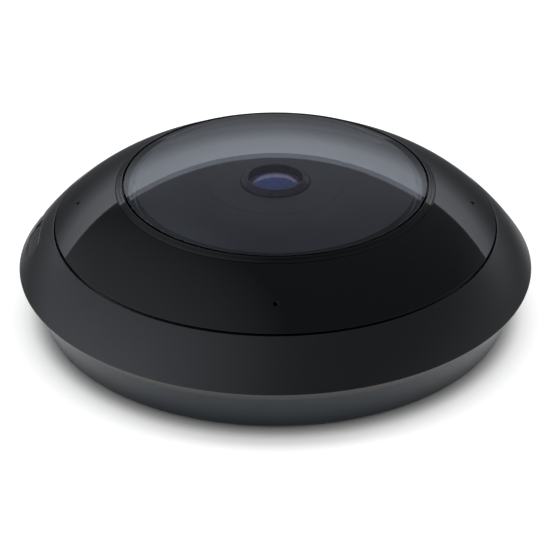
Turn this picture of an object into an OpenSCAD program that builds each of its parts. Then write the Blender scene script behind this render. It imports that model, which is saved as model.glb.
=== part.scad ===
// Fisheye ceiling camera, laid on its ceiling face with the window upwards.
// Millimetres. The origin is at the centre of the ceiling face, +Z points along the lens axis
// and -Y is the side with the front microphone hole.

/* [Casing] */
// How far the rim stands out past the base
rim_overhang = 2.35; // [2:0.05:2.8]
// Height of the crown from the rim to the lip round the window
crown_h = 20.5; // [20:0.05:22]
// Radius of the curve that the band and the trim ring share, seen in section
crown_r = 55; // [53:0.5:60]
// Width of the lip round the window
lip_w = 1.6; // [1.2:0.05:2]
// Height of the chamfer under the rim, down to the seam
rim_drop = 2.2; // [1.8:0.05:2.6]
// Radial width of the small chamfer under the rim
chamfer_w = 1.55; // [1:0.05:2]
// Width of the base's shoulder under the band
shoulder_w = 2.7; // [2.5:0.05:3]
// How far the base draws in from its shoulder to its foot
base_taper = 3.6; // [2.8:0.05:4]
// Height of the foot above the ceiling face
base_z = 0.7; // [0.4:0.05:1]
// Chamfer on the foot of the base
foot_chamfer = 0.6; // [0.3:0.05:1]
// Width of the band, from the rim in to the groove
band_w = 9; // [8.4:0.05:10]
// Width of that groove
groove_w = 0.5; // [0.3:0.05:0.8]
// Wall of the band
band_t = 2.4; // [2.2:0.05:2.6]
// Wall of the trim ring
ring_t = 2; // [1.8:0.05:2.2]
// Length of the step in the band that the trim ring rests on
ledge_w = 3; // [2.4:0.1:4]
// Thickness of that step
ledge_t = 1.8; // [1.4:0.05:2.2]

/* [Window] */
// How far the window's edge lies inside the chassis wall
window_inset = 1; // [0.9:0.05:1.4]
// How far the window's edge stands above the lip
window_proud = 1.05; // [0.7:0.05:1.2]
// Radius of the window's outer face
window_r = 88.5; // [86:0.5:95]
// Thickness of the window
window_t = 3.4; // [3.2:0.05:3.6]
// Gap between the window and the lip
window_gap = 0.3; // [0.2:0.05:0.4]
// Thickness of the window's gasket
gasket_t = 0.5; // [0.4:0.05:0.7]
// Width of the window's gasket
gasket_w = 3; // [2.4:0.1:3.2]
// Wall of the skirt round the window
skirt_t = 1.8; // [1.5:0.05:2]

/* [Ceiling plate and twist lock] */
// Thickness of the ceiling plate
plate_t = 1.6; // [1.4:0.05:1.8]
// Gap between the ceiling plate and the foot of the base
plate_rim_gap = 1; // [0.6:0.1:1.6]
// Width of the stiffening rim on the plate
plate_rim_w = 2; // [1.5:0.1:3]
// Height of that rim above the plate
plate_rim_h = 0.8; // [0.5:0.05:1]
// Ceiling screw holes
ceiling_hole_d = 4.4; // [4:0.1:5]
// Number of ceiling screws
ceiling_screws = 4; // [3:1:4]
// Outside diameter of the collar on the camera
collar_d = 59; // [57:0.5:61]
// Wall of that collar
collar_t = 2.5; // [2:0.1:3]
// How far the lugs of the collar reach outwards
lug_reach = 2.9; // [2.4:0.1:3.4]
// Thickness of the lugs, and of the plate's tabs over them
lug_t = 1.2; // [1:0.05:1.3]
// Number of lugs
lugs = 3; // [3:1:4]
// Angle that one lug takes up
lug_angle = 20; // [16:1:22]
// Clearance between the parts of the twist lock
lock_gap = 0.3; // [0.2:0.05:0.4]
// Width of the stop beside each tab
stop_angle = 3; // [2:0.5:5]

/* [Rear housing] */
// Thickness of the floor
floor_t = 1.8; // [1.6:0.05:2.4]
// Wall of the skirt below the floor
foot_t = 2.7; // [2.2:0.1:3]
// Gap between the main board and the housing
board_gap = 6; // [5:0.1:7]
// Thickness of the tongue that locates the band
tongue_t = 2.2; // [1.8:0.05:2.4]
// Height of that tongue above its shoulder
tongue_h = 1.4; // [1:0.05:1.6]
// Gap that shows between the base and the band
seam_gap = 0.2; // [0.1:0.05:0.3]
// Thickness of the seal's cord
seal_d = 1; // [0.8:0.05:1.2]
// Distance from the chassis to the case screws
case_offset = 3; // [2.8:0.1:3.4]
// Diameter of a case screw
case_screw_d = 3; // [2.5:0.1:3.2]
// Wall round the head of a case screw
boss_t = 1.2; // [1:0.05:1.5]

/* [Boards] */
// Thickness of the main board
board_t = 1.6; // [1.2:0.1:1.8]
// Width of the main board outside the case screws
board_margin = 6.5; // [6:0.1:7]
// Thickness of the small boards
small_board_t = 1.2; // [0.8:0.1:1.4]
// Width of the processor
processor_w = 14; // [13:0.1:15]
// Gap between the lens mount and the processor
processor_gap = 3; // [2.4:0.1:3.6]
// Height of the processor
processor_h = 1.4; // [1:0.1:1.5]
// Thickness of the thermal pad
pad_t = 0.8; // [0.5:0.1:1]
// Thickness of the heat spreader
spreader_t = 1.6; // [1.2:0.1:1.8]
// How far the heat spreader reaches past the processor
spreader_margin = 1.6; // [1.2:0.1:2]
// Height of the heat spreader's fins
fin_h = 1.75; // [1.2:0.05:2]
// Width of the transformer
transformer_w = 13; // [11:0.5:14]
// Height of the transformer
transformer_h = 9; // [7:0.5:11]
// Diameter of the capacitors
capacitor_d = 6.3; // [5:0.1:7]
// Height of the capacitors
capacitor_h = 8; // [6:0.5:10]

/* [Network socket] */
// Width of the socket's body
jack_w = 16; // [15.5:0.1:16.5]
// Depth of the socket's body, across the board
jack_d = 13.5; // [13.2:0.1:14]
// Height of the socket's body
jack_h = 13.5; // [13:0.1:14]
// Width of the plug's hole
plug_w = 11.8; // [11.6:0.05:12]
// Height of the plug's hole
plug_h = 6.8; // [6.6:0.05:7]
// Depth of the plug's hole
plug_l = 11.5; // [11:0.1:12]
// Width of the slot for the plug's latch
latch_w = 6.4; // [6:0.1:6.8]
// Height of the slot for the plug's latch
latch_h = 2.6; // [2.2:0.1:2.8]
// Distance from the lens axis to the socket's body
jack_offset = 15; // [14.8:0.1:15.5]

/* [Lens] */
// Diameter of the ring on the front of the lens
lens_d = 16.5; // [16:0.1:17]
// Diameter of its opening
lens_opening_d = 13.1; // [12.8:0.1:13.4]
// Height of the lens ring above the face plate
lens_rise = 1.2; // [1:0.05:1.4]
// Height of the lens ring
lens_ring_h = 1.1; // [0.9:0.05:1.2]
// Diameter of the barrel's thread
thread_d = 12; // [11.6:0.1:12.2]
// Height of the barrel's head
barrel_head_h = 3.6; // [3.2:0.1:4]
// Radius of the front lens's outer face
front_lens_r = 8.5; // [7.5:0.1:9.5]
// Height of the lock ring on the thread
lock_ring_h = 1.4; // [1:0.1:1.6]
// Diameter of the disc round the lens
surround_d = 32.8; // [32:0.2:34]
// Thickness of the face plate
face_t = 2.75; // [2.5:0.05:2.8]
// Gap between the face plate and the window's gasket
face_gap = 0.6; // [0.4:0.05:0.9]
// Radius of the flange that the lens stands on
mount_flange_r = 19; // [18.5:0.1:20]

/* [Infrared lamps] */
// Number of infrared lamps
lamps = 6; // [6:1:6]
// Distance of the lamps from the edge of their board
lamp_inset = 6.3; // [5.6:0.1:7]
// Width of a lamp's body
lamp_w = 3.5; // [3:0.1:4]
// Height of a lamp
lamp_h = 2.2; // [1.8:0.1:2.4]
// Gap round the lamp board
lamp_board_gap = 0.7; // [0.5:0.05:1]

/* [Filter switcher] */
// Width of each filter glass
filter_w = 6.4; // [6:0.1:6.4]
// Distance between the two glasses, which is also the travel
filter_travel = 7; // [6.9:0.05:7.2]
// Thickness of the carriage
carriage_t = 2; // [1.8:0.1:2.2]
// Clearance round the carriage
carriage_gap = 0.4; // [0.3:0.05:0.5]
// Height of the lens mount's box
mount_box_h = 7.6; // [7.4:0.1:8]

/* [Button, light and microphones] */
// Distance of the button's middle from the rim, seen from above
button_inset = 3.35; // [3.2:0.05:3.6]
// Length of the button
button_l = 13.6; // [12.6:0.1:14.4]
// Width of the button
button_w = 4.6; // [4:0.1:4.8]
// Width of the recess all round the button
recess_w = 1.4; // [1:0.05:1.6]
// Depth of that recess
recess_depth = 1.2; // [1:0.05:1.3]
// How far the button lies below the crown
button_sunk = 0.35; // [0.2:0.05:0.5]
// Travel of the button
button_travel = 0.5; // [0.3:0.05:0.6]
// Gap round the button
button_gap = 0.3; // [0.25:0.05:0.4]
// Diameter of the status light
light_d = 1.4; // [1:0.1:1.6]
// Distance from the button to the status light
light_offset = 15.4; // [15:0.1:15.6]
// Distance of the microphone holes from the groove
mic_inset = 5.95; // [5.2:0.05:6.2]
// Diameter of a microphone hole
mic_hole_d = 1; // [0.8:0.05:1.3]
// Number of microphones
mics = 4; // [4:1:4]
// Diameter of a microphone's rubber boot
mic_boot_d = 6; // [5:0.1:6.2]
// Height of a microphone's rubber boot
mic_boot_h = 1.6; // [1.3:0.05:1.8]

/* [Hidden] */
$fn = 96;

// Overrun of every cut past the face it opens
over = 0.5;
// Fit of a piece in the bore that holds it
fit = 0.05;
// Gap between two pieces of one body that don't carry each other
slip = 0.2;
// Gaps between the fins and the lamp board, and between the lamps and the face plate
fin_gap = 0.6;
lamp_clearance = 0.25;
// Width of the deck under the face plate, and its thickness
deck_w = 2.3;
deck_t = 1.6;

// Radii, from the flange of the lens mount outwards
chassis_t = 2.5;
spreader_out_r = mount_flange_r + processor_gap + processor_w + spreader_margin;
chassis_in_r = spreader_out_r + 2 * slip;
window_edge_r = chassis_in_r - window_inset;
lip_r = window_edge_r + window_gap + lip_w;
case_r = chassis_in_r + chassis_t + case_offset;
board_r = case_r + board_margin;
bore_r = board_r + board_gap;
tongue_r = bore_r + tongue_t;
base_top_r = tongue_r + shoulder_w;
base_r = base_top_r - base_taper;
rim_r = base_top_r + rim_overhang;
groove_r = rim_r - band_w;
mic_r = groove_r - mic_inset;
button_r = rim_r - button_inset;

// Radii under the window, from its edge inwards
face_r = window_edge_r - gasket_w - face_gap;
deck_in_r = face_r - deck_w;
lamp_board_r = deck_in_r - lamp_board_gap;
lamp_circle_r = lamp_board_r - lamp_inset;

// Heights of the twist lock, from the ceiling up
tab_z = plate_t + lock_gap;
floor_z = tab_z + lug_t + lock_gap;
floor_top = floor_z + floor_t;
lug_z = plate_t - lug_t;

// Heights inside the camera, from the floor up to the window
jack_z = floor_top + gasket_t;
board_z = jack_z + jack_h;
board_top = board_z + board_t;
spreader_z = board_top + processor_h + pad_t;
lamp_board_z = spreader_z + spreader_t + fin_h + fin_gap;
deck_z = lamp_board_z + small_board_t + lamp_h + lamp_clearance;
window_seat_z = deck_z + gasket_t;
window_cz = window_seat_z - sqrt(pow(window_r - window_t, 2) - pow(window_edge_r, 2));
window_edge_z = window_cz + sqrt(pow(window_r, 2) - pow(window_edge_r, 2));
face_top = deck_z + face_t;
lens_top = face_top + lens_rise;
sensor_top = board_z - slip - mount_box_h;
sensor_board_z = sensor_top - small_board_t;

// Heights of the casing, from the window down
lip_z = window_edge_z - window_proud;
rim_z = lip_z - crown_h;
seam_z = rim_z - rim_drop;
shoulder_z = seam_z - seam_gap;

// The crown: one circle in section, through the lip and the rim
crown_chord = norm([rim_r - lip_r, rim_z - lip_z]);
crown_rise = sqrt(pow(crown_r, 2) - pow(crown_chord / 2, 2));
crown_cr = (rim_r + lip_r) / 2 - (lip_z - rim_z) / crown_chord * crown_rise;
crown_cz = (rim_z + lip_z) / 2 - (rim_r - lip_r) / crown_chord * crown_rise;

// Tilt of the crown's normal at a radius, and the point at a tilt and a depth under the surface
function crown_tilt(r) = asin((r - crown_cr) / crown_r);
function crown_at(tilt, depth) = [
    crown_cr + (crown_r - depth) * sin(tilt),
    crown_cz + (crown_r - depth) * cos(tilt)
];
// Angle that a length takes up on the crown
function crown_span(length) = length / crown_r * 180 / PI;

groove_tilt = crown_tilt(groove_r);
groove_half = crown_span(groove_w / 2);
rim_tilt = crown_tilt(rim_r);
lip_tilt = crown_tilt(lip_r);

// Ceiling plate and twist lock
collar_r = collar_d / 2;
lug_r = collar_r + lug_reach;
tab_r = collar_r + lock_gap;
plate_opening_r = lug_r + lock_gap;
plate_r = base_r - foot_t - plate_rim_gap;
tab_root_w = 1.6;
// The ceiling screws stand halfway between the tabs and the stiffening rim
ceiling_screw_r = (plate_opening_r + tab_root_w + plate_r - plate_rim_w) / 2;
ceiling_screw_angle = 45;
// A lug's end stands off its stop by the same gap as the rest of the lock
stop_gap_angle = lock_gap / tab_r * 180 / PI;

// Middle of the seal's cord, sunk in the shoulder
seal_r = tongue_r + seam_gap + seal_d;

// Screws
case_screw_r = case_screw_d / 2;
chassis_foot_t = 1.8;
case_head_r = 2.9;
case_head_h = 2.2;
case_head_depth = 1;
case_screw_angle = 45;
case_screw_count = 4;
case_grip = 5.2;
case_screw_l = board_top + chassis_foot_t + case_grip - floor_z - case_head_depth;
boss_r = case_head_r + slip + boss_t;
ear_r = 4.4;
ring_boss_r = 2.6;
small_screw_r = 1;
small_head_r = 1.9;
small_head_h = 1.2;

// Chassis
tab_w = 7;
tab_t = 1.6;
tab_screw_r = lamp_board_r - small_head_r;
tab_in_r = tab_screw_r - small_head_r;
tab_angles = [90, 210, 330];

// Socket places
latch_wall = 0.9;
plug_y = jack_offset + latch_wall + latch_h + plug_h / 2;
contact_pitch = 1.02;
contact_w = 0.5;
contact_h = 0.5;
contact_l = 8;
contacts = 8;

// Heat spreader
processor_y = -mount_flange_r - processor_gap - processor_w / 2;
spreader_in_r = mount_flange_r + processor_gap / 2;
spreader_angle = 56;
spreader_post_r = 2;
spreader_post_circle_r = spreader_out_r - spreader_margin - spreader_post_r;
spreader_post_angle = 22;
fin_angles = [-16, -8, 0, 8, 16];
fin_w = 1;
fin_in_r = spreader_in_r + spreader_margin;
fin_out_r = spreader_out_r - spreader_margin;

// Parts on the main board
transformer_at = [-25, 13];
transformer_l = 11;
capacitor_at = [[25, 12], [25, 20]];
memory_size = [7, 9, 1.1];
memory_step = 5;
memory_x = (processor_w + memory_size[0]) / 2 + processor_gap;
memory_y = processor_y + memory_step;
connector_h = 1.5;
flex_t = 0.3;
sensor_connector_at = [21.8, 0];
sensor_connector_size = [4.4, 10];
lamp_connector_at = [-26, 0];
lamp_connector_size = [4, 8];
lamp_connector_step = 4;

// Lens mount: a box under the main board, a neck through it and a flange on it
mount_box = [28, 20];
mount_neck_r = 12.4;
mount_hole_r = 13;
mount_flange_t = 1.5;
mount_screw_inset = 3;
mount_screw_r = mount_flange_r - mount_screw_inset;
mount_screw_angles = [60, 180, 300];
mount_boss_r = 8.4;
sensor_board_size = [30, 28];
sensor_tail = [4, 12];
sensor_size = [11, 10, 1.4];
sensor_hole = 13;
sensor_screw_at = [11.6, 7.9];
sensor_screw_l = 4.5;
aperture_r = 4.6;
aperture_t = 1.2;

// The carriage slides over the image sensor, and the lens ends above it
sensor_clearance = 0.8;
carriage_z = sensor_top + sensor_size[2] + sensor_clearance + carriage_gap;

// Lens
thread_r = thread_d / 2;
lens_r = lens_d / 2;
barrel_top = lens_top - lens_ring_h;
barrel_head_z = barrel_top - barrel_head_h;
lock_ring_z = barrel_head_z - slip - lock_ring_h;
barrel_z = carriage_z + carriage_t + carriage_gap + aperture_t + slip;
lens_wall = 1;
lens_seat_step = 0.1;
front_bore_r = lens_opening_d / 2 - lens_seat_step;
front_bore_depth = 2.8;
middle_bore_r = thread_r - lens_wall;
rear_bore_r = 4.2;
middle_bore_depth = 3.2;
front_lens_edge = 1.1;
lens_grip = 0.6;
ring_bevel_share = 0.85;
ring_bevel_slope = 1.4;
middle_lens_r = 9;
rear_lens_r = 7;
lens_edge_gap = 0.4;

// Filter switcher
carriage_margin = 0.9;
carriage_half_y = filter_w / 2 + carriage_margin + slip / 2;
carriage_low_x = -filter_travel - filter_w / 2 - carriage_margin;
carriage_high_x = filter_w / 2 + carriage_margin;
carriage_ledge = 0.5;
filter_t = 0.4;
filter_sink = 0.6;
magnet_size = [3, 2.2, 1];
arm_margin = 0.4;
arm_x = -filter_travel / 2;
arm_w = magnet_size[0] + 2 * arm_margin;
arm_l = magnet_size[1] + 2 * arm_margin;
coil_l = 12;
coil_flange = 4.6;
coil_flange_t = 1;
coil_r = 2.1;

// Face plate and lens surround
face_opening_r = 14.8;
face_recess_t = 0.65;
surround_in_r = lens_r + slip;
surround_rise = 0.1;
face_bevel_w = 2;
face_bevel_h = 0.85;

// Infrared lamps
lamp_r = 1.3;
lamp_base_h = 1.2;
lamp_board_in_r = 12;

// Button and what lies behind it, in the button's own frame: Z outwards, Y along the band
button_tilt = crown_tilt(button_r);
button_z = crown_at(button_tilt, 0)[1];
flange_w = 0.8;
flange_t = 0.9;
flange_hole_l = button_l + 2 * flange_w + 2 * button_gap;
flange_hole_w = button_w + 2 * flange_w + 2 * button_gap;
// The band's inner face falls away along the flange, so the chamber starts at its lowest point
chamber_sag = (button_r - sqrt(pow(button_r, 2) - pow(flange_hole_l / 2, 2))) * sin(button_tilt);
chamber_depth = band_t + chamber_sag;
stem_r = 1.5;
stem_l = 0.9;
plunger_r = 1.2;
plunger_l = 2.6;
plunger_fit = 0.08;
switch_w = 4.4;
switch_h = 3.5;
side_board_t = 0.8;
led_size = [1.6, 0.8];
led_h = 0.8;
side_board_low = 2.6;
side_board_high = 4;
side_board_end = 4;
side_board_notch = 0.8;
rib_t = 2;
notch_margin = 1.5;

// Angles of the room in the tongue, on the light's side of the button and on the other one
notch_light_angle = asin((light_offset + light_d / 2 + notch_margin) / bore_r);
notch_button_angle = asin((flange_hole_l / 2 + notch_margin) / bore_r);

// Depths behind the button
flange_top = chamber_depth + button_gap;
flange_back = flange_top + flange_t;
stem_back = flange_back + stem_l;
switch_top = stem_back + button_travel + button_gap;
side_board_top = switch_top + switch_h;
side_board_back = side_board_top + side_board_t;

// Microphones
mic_tilt = crown_tilt(mic_r);
mic_clear = 0.15;
mic_size = [3.8, 3, 1.1];
mic_pad_t = 0.3;
mic_strip_low = 0.6;
mic_strip_w = 2.2;
mic_strip_t = mic_pad_t - fit;
mic_bevel_share = 0.2;
mic_boot_top = ring_t + mic_clear;
mic_pad_top = mic_boot_top + mic_boot_h;

// Copies of the children on a circle
module on_circle(n, r, first) {
    for (i = [0:n - 1])
        rotate([0, 0, first + i * 360 / n])
            translate([r, 0, 0])
                children();
}

// Ring with a straight bore
module ring(r_out, r_in, z, h) {
    translate([0, 0, z])
        difference() {
            cylinder(r = r_out, h = h);
            translate([0, 0, -over])
                cylinder(r = r_in, h = h + 2 * over);
        }
}

// Piece of a ring, from an angle and over an angle
module ring_piece(r_out, r_in, z, h, from, angle) {
    rotate([0, 0, from])
        rotate_extrude(angle = angle)
            translate([r_in, z])
                square([r_out - r_in, h]);
}

// Block with its middle on the Z axis
module block(size, z, h) {
    translate([-size[0] / 2, -size[1] / 2, z])
        cube([size[0], size[1], h]);
}

// Long hole with round ends, its length along Y
module slot_shape(l, w) {
    square([w, l - w], center = true);
    for (side = [-1, 1])
        translate([0, side * (l - w) / 2])
            circle(d = w);
}

module slot_solid(l, w, z, h) {
    translate([0, 0, z])
        linear_extrude(h)
            slot_shape(l, w);
}

// Section of a shell that follows the crown, between two tilts and two depths
module crown_section(tilt_in, tilt_out, depth_out, depth_in) {
    intersection() {
        translate([crown_cr, crown_cz])
            difference() {
                circle(r = crown_r - depth_out);
                circle(r = crown_r - depth_in);
            }
        polygon([
            [crown_cr, crown_cz],
            crown_at(tilt_in, -crown_r),
            crown_at(tilt_out, -crown_r)
        ]);
    }
}

// Frame on the crown, Z along its normal, at an angle round the axis
module on_crown(r, angle) {
    tilt = crown_tilt(r);
    rotate([0, 0, angle])
        translate([r, 0, crown_at(tilt, 0)[1]])
            rotate([0, tilt, 0])
                children();
}

// The button's frame, on the left side of the band
module at_button() {
    translate([-button_r, 0, button_z])
        rotate([0, -button_tilt, 0])
            children();
}

// A point of the button's frame, as X and Z of the camera's frame
function from_button(across, out) = [
    -button_r + across * cos(button_tilt) - out * sin(button_tilt),
    button_z + across * sin(button_tilt) + out * cos(button_tilt)
];

// Ceiling plate: a steel ring with tabs that hold the camera's lugs
module mount_plate() {
    color("#9a9ea3")
        difference() {
            union() {
                ring(plate_r, plate_opening_r, 0, plate_t);
                ring(plate_r, plate_r - plate_rim_w, 0, plate_t + plate_rim_h);
                for (i = [0:lugs - 1]) {
                    first = i * 360 / lugs;
                    // Riser and tab over the lug
                    ring_piece(plate_opening_r + tab_root_w, plate_opening_r, plate_t / 2,
                        tab_z + lug_t - plate_t / 2, first, lug_angle);
                    ring_piece(plate_opening_r + tab_root_w, tab_r, tab_z, lug_t, first, lug_angle);
                    // Stop that the lug turns against
                    ring_piece(plate_opening_r + tab_root_w, tab_r, 0, tab_z + lug_t,
                        first - stop_gap_angle - stop_angle, stop_angle);
                }
            }
            on_circle(ceiling_screws, ceiling_screw_r, ceiling_screw_angle)
                translate([0, 0, -over])
                    cylinder(d = ceiling_hole_d, h = plate_t + 2 * over);
        }
}

// Section of the rear housing: skirt, floor, wall and tongue
module housing_section() {
    polygon([
        [0, floor_z],
        [base_r - foot_t, floor_z],
        [base_r - foot_t, base_z],
        [base_r - foot_chamfer, base_z],
        [base_r, base_z + foot_chamfer],
        [base_top_r, shoulder_z],
        [tongue_r, shoulder_z],
        [tongue_r, shoulder_z + tongue_h],
        [bore_r, shoulder_z + tongue_h],
        [bore_r, floor_top],
        [0, floor_top]
    ]);
}

// Way of the plug and its latch through the floor
module plug_way(z, h) {
    translate([-plug_w / 2 - slip, jack_offset + latch_wall - slip, z])
        cube([plug_w + 2 * slip, plug_h + latch_h + 2 * slip, h]);
}

module rear_housing() {
    rib_low = from_button(-side_board_low, -side_board_back);
    rib_high = from_button(side_board_high, -side_board_back);
    color("#2c2e31")
        difference() {
            union() {
                rotate_extrude()
                    housing_section();
                ring(collar_r, collar_r - collar_t, lug_z, floor_z + floor_t / 2 - lug_z);
                for (i = [0:lugs - 1])
                    ring_piece(lug_r, collar_r - collar_t / 2, lug_z, lug_t, i * 360 / lugs, lug_angle);
                on_circle(case_screw_count, case_r, case_screw_angle)
                    translate([0, 0, floor_z])
                        cylinder(r = boss_r, h = board_z - floor_z);
                // Ribs that carry the side board
                for (y = [-side_board_end, light_offset - side_board_end])
                    translate([0, y + rib_t, 0])
                        rotate([90, 0, 0])
                            linear_extrude(rib_t)
                                polygon([
                                    rib_low,
                                    rib_high,
                                    [rib_high[0], floor_z + floor_t / 2],
                                    [rib_low[0], floor_z + floor_t / 2]
                                ]);
            }
            // Seal groove in the shoulder
            ring(seal_r + seal_d / 2 + fit, seal_r - seal_d / 2 - fit,
                shoulder_z - seal_d + seam_gap - fit, seal_d + over);
            // Room in the tongue for the button and the light's rod
            ring_piece(tongue_r + over, bore_r - over, shoulder_z, tongue_h + over,
                180 - notch_light_angle, notch_light_angle + notch_button_angle);
            // Room for the switch and the light, where the wall comes near them
            at_button() {
                block([switch_w + 2 * slip, switch_w + 2 * slip], -side_board_top, switch_h + slip);
                translate([0, light_offset, 0])
                    block([led_size[1] + 2 * slip, led_size[0] + 2 * slip], -side_board_top, led_h + slip);
            }
            // Opening for the network plug
            plug_way(floor_z - over, floor_t + 2 * over);
            on_circle(case_screw_count, case_r, case_screw_angle) {
                translate([0, 0, floor_z - over])
                    cylinder(r = case_screw_r + slip, h = board_z - floor_z + 2 * over);
                translate([0, 0, floor_z - over])
                    cylinder(r = case_head_r + slip, h = case_head_depth + case_head_h + over);
            }
        }
}

module housing_seal() {
    color("#17181a")
        rotate_extrude()
            translate([seal_r, shoulder_z + seam_gap - seal_d / 2])
                circle(d = seal_d);
}

// Screw with the underside of its head at z, its shank running up or down from there
module screw(z, length, shank_r, head_r, head_h, up) {
    translate([0, 0, up ? z - head_h : z])
        cylinder(r = head_r, h = head_h);
    translate([0, 0, up ? z - head_h / 2 : z - length])
        cylinder(r = shank_r, h = length + head_h / 2);
}

module case_screws() {
    color("#8d9094")
        on_circle(case_screw_count, case_r, case_screw_angle)
            difference() {
                screw(floor_z + case_head_depth + case_head_h, case_screw_l - case_head_h,
                    case_screw_r, case_head_r, case_head_h, true);
                translate([0, 0, floor_z + case_head_depth - over])
                    cylinder(r = case_screw_r - slip, h = case_head_h / 2 + over, $fn = 6);
            }
}

// Network socket, its mouth towards the ceiling
module ethernet_jack() {
    color("#7d8187")
        difference() {
            translate([-jack_w / 2, jack_offset, jack_z])
                cube([jack_w, jack_d, jack_h]);
            translate([0, plug_y, jack_z - over])
                linear_extrude(plug_l + over)
                    square([plug_w, plug_h], center = true);
            translate([-latch_w / 2, plug_y - plug_h / 2 - latch_h, jack_z - over])
                cube([latch_w, latch_h + over, plug_l + over]);
        }
}

module jack_contacts() {
    color("#c9a24a")
        for (i = [0:contacts - 1])
            translate([
                (i - (contacts - 1) / 2) * contact_pitch - contact_w / 2,
                plug_y + plug_h / 2 - contact_h,
                jack_z + plug_l - contact_l
            ])
                cube([contact_w, contact_h, contact_l]);
}

module jack_gasket() {
    color("#1b1c1e")
        difference() {
            translate([-jack_w / 2, jack_offset, floor_top])
                cube([jack_w, jack_d, gasket_t]);
            plug_way(floor_top - over, gasket_t + 2 * over);
        }
}

module main_board() {
    color("#1f4a35")
        difference() {
            translate([0, 0, board_z])
                cylinder(r = board_r, h = board_t);
            translate([0, 0, board_z - over])
                cylinder(r = mount_hole_r, h = board_t + 2 * over);
            on_circle(case_screw_count, case_r, case_screw_angle)
                translate([0, 0, board_z - over])
                    cylinder(r = case_screw_r + slip, h = board_t + 2 * over);
            for (a = mount_screw_angles)
                rotate([0, 0, a])
                    translate([mount_screw_r, 0, board_z - over])
                        cylinder(r = small_screw_r + fit, h = board_t + 2 * over);
            spreader_places()
                translate([0, 0, board_z - over])
                    cylinder(r = small_screw_r + fit, h = board_t + 2 * over);
        }
}

module processor() {
    color("#26282b")
        translate([0, processor_y, 0])
            block([processor_w, processor_w], board_top, processor_h);
}

module memory_chips() {
    color("#303236")
        for (side = [-1, 1])
            translate([side * memory_x, memory_y, 0])
                block(memory_size, board_top, memory_size[2]);
}

module thermal_pad() {
    color("#8f97a8")
        translate([0, processor_y, 0])
            block([processor_w, processor_w], board_top + processor_h, pad_t);
}

module spreader_places() {
    for (side = [-1, 1])
        rotate([0, 0, -90 + side * spreader_post_angle])
            translate([spreader_post_circle_r, 0, 0])
                children();
}

module heat_spreader() {
    color("#a7abb0")
        difference() {
            union() {
                ring_piece(spreader_out_r, spreader_in_r, spreader_z, spreader_t,
                    -90 - spreader_angle / 2, spreader_angle);
                spreader_places()
                    translate([0, 0, board_top])
                        cylinder(r = spreader_post_r, h = spreader_z - board_top + spreader_t / 2);
                for (a = fin_angles)
                    rotate([0, 0, -90 + a])
                        translate([fin_in_r, -fin_w / 2, spreader_z + spreader_t / 2])
                            cube([fin_out_r - fin_in_r, fin_w, spreader_t / 2 + fin_h]);
            }
            spreader_places()
                translate([0, 0, board_top - over])
                    cylinder(r = small_screw_r + fit, h = spreader_z + spreader_t - board_top + 2 * over);
        }
}

module spreader_screws() {
    color("#8d9094")
        spreader_places()
            screw(spreader_z + spreader_t, spreader_z + spreader_t - board_z, small_screw_r,
                small_head_r, small_head_h, false);
}

module power_transformer() {
    color("#3a3c40")
        translate([transformer_at[0], transformer_at[1], 0])
            block([transformer_w, transformer_l], board_z - transformer_h, transformer_h);
}

module capacitors() {
    color("#55585e")
        for (at = capacitor_at)
            translate([at[0], at[1], board_z - capacitor_h])
                cylinder(d = capacitor_d, h = capacitor_h);
}

module board_connectors() {
    color("#d8d4c6") {
        translate([sensor_connector_at[0], sensor_connector_at[1], 0])
            block(sensor_connector_size, board_z - connector_h, connector_h);
        translate([lamp_connector_at[0], lamp_connector_at[1], 0])
            block(lamp_connector_size, board_top, connector_h);
        translate([lamp_connector_at[0] + lamp_connector_step, lamp_connector_at[1], 0])
            block(lamp_connector_size, lamp_board_z - connector_h, connector_h);
    }
}

// Chassis: the metal ring between the main board and the window
module chassis() {
    color("#86898e")
        difference() {
            union() {
                rotate_extrude()
                    polygon([
                        [chassis_in_r, board_top],
                        [chassis_in_r + chassis_t, board_top],
                        [chassis_in_r + chassis_t, deck_z],
                        [deck_in_r, deck_z],
                        [deck_in_r, deck_z - deck_t],
                        [chassis_in_r, deck_z - deck_t]
                    ]);
                // Ears for the case screws
                intersection() {
                    on_circle(case_screw_count, case_r, case_screw_angle)
                        translate([0, 0, board_top])
                            cylinder(r = ear_r, h = chassis_foot_t);
                    ring(case_r + ear_r + over, chassis_in_r + chassis_t / 2, board_top, chassis_foot_t);
                }
                // Tabs that carry the lamp board
                for (a = tab_angles)
                    rotate([0, 0, a])
                        translate([tab_in_r, -tab_w / 2, lamp_board_z - tab_t])
                            cube([chassis_in_r + chassis_t / 2 - tab_in_r, tab_w, tab_t]);
            }
            on_circle(case_screw_count, case_r, case_screw_angle)
                translate([0, 0, board_top - over])
                    cylinder(r = case_screw_r + slip, h = chassis_foot_t + 2 * over);
            for (a = tab_angles)
                rotate([0, 0, a])
                    translate([tab_screw_r, 0, lamp_board_z - tab_t - over])
                        cylinder(r = small_screw_r + fit, h = tab_t + 2 * over);
        }
}

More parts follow.
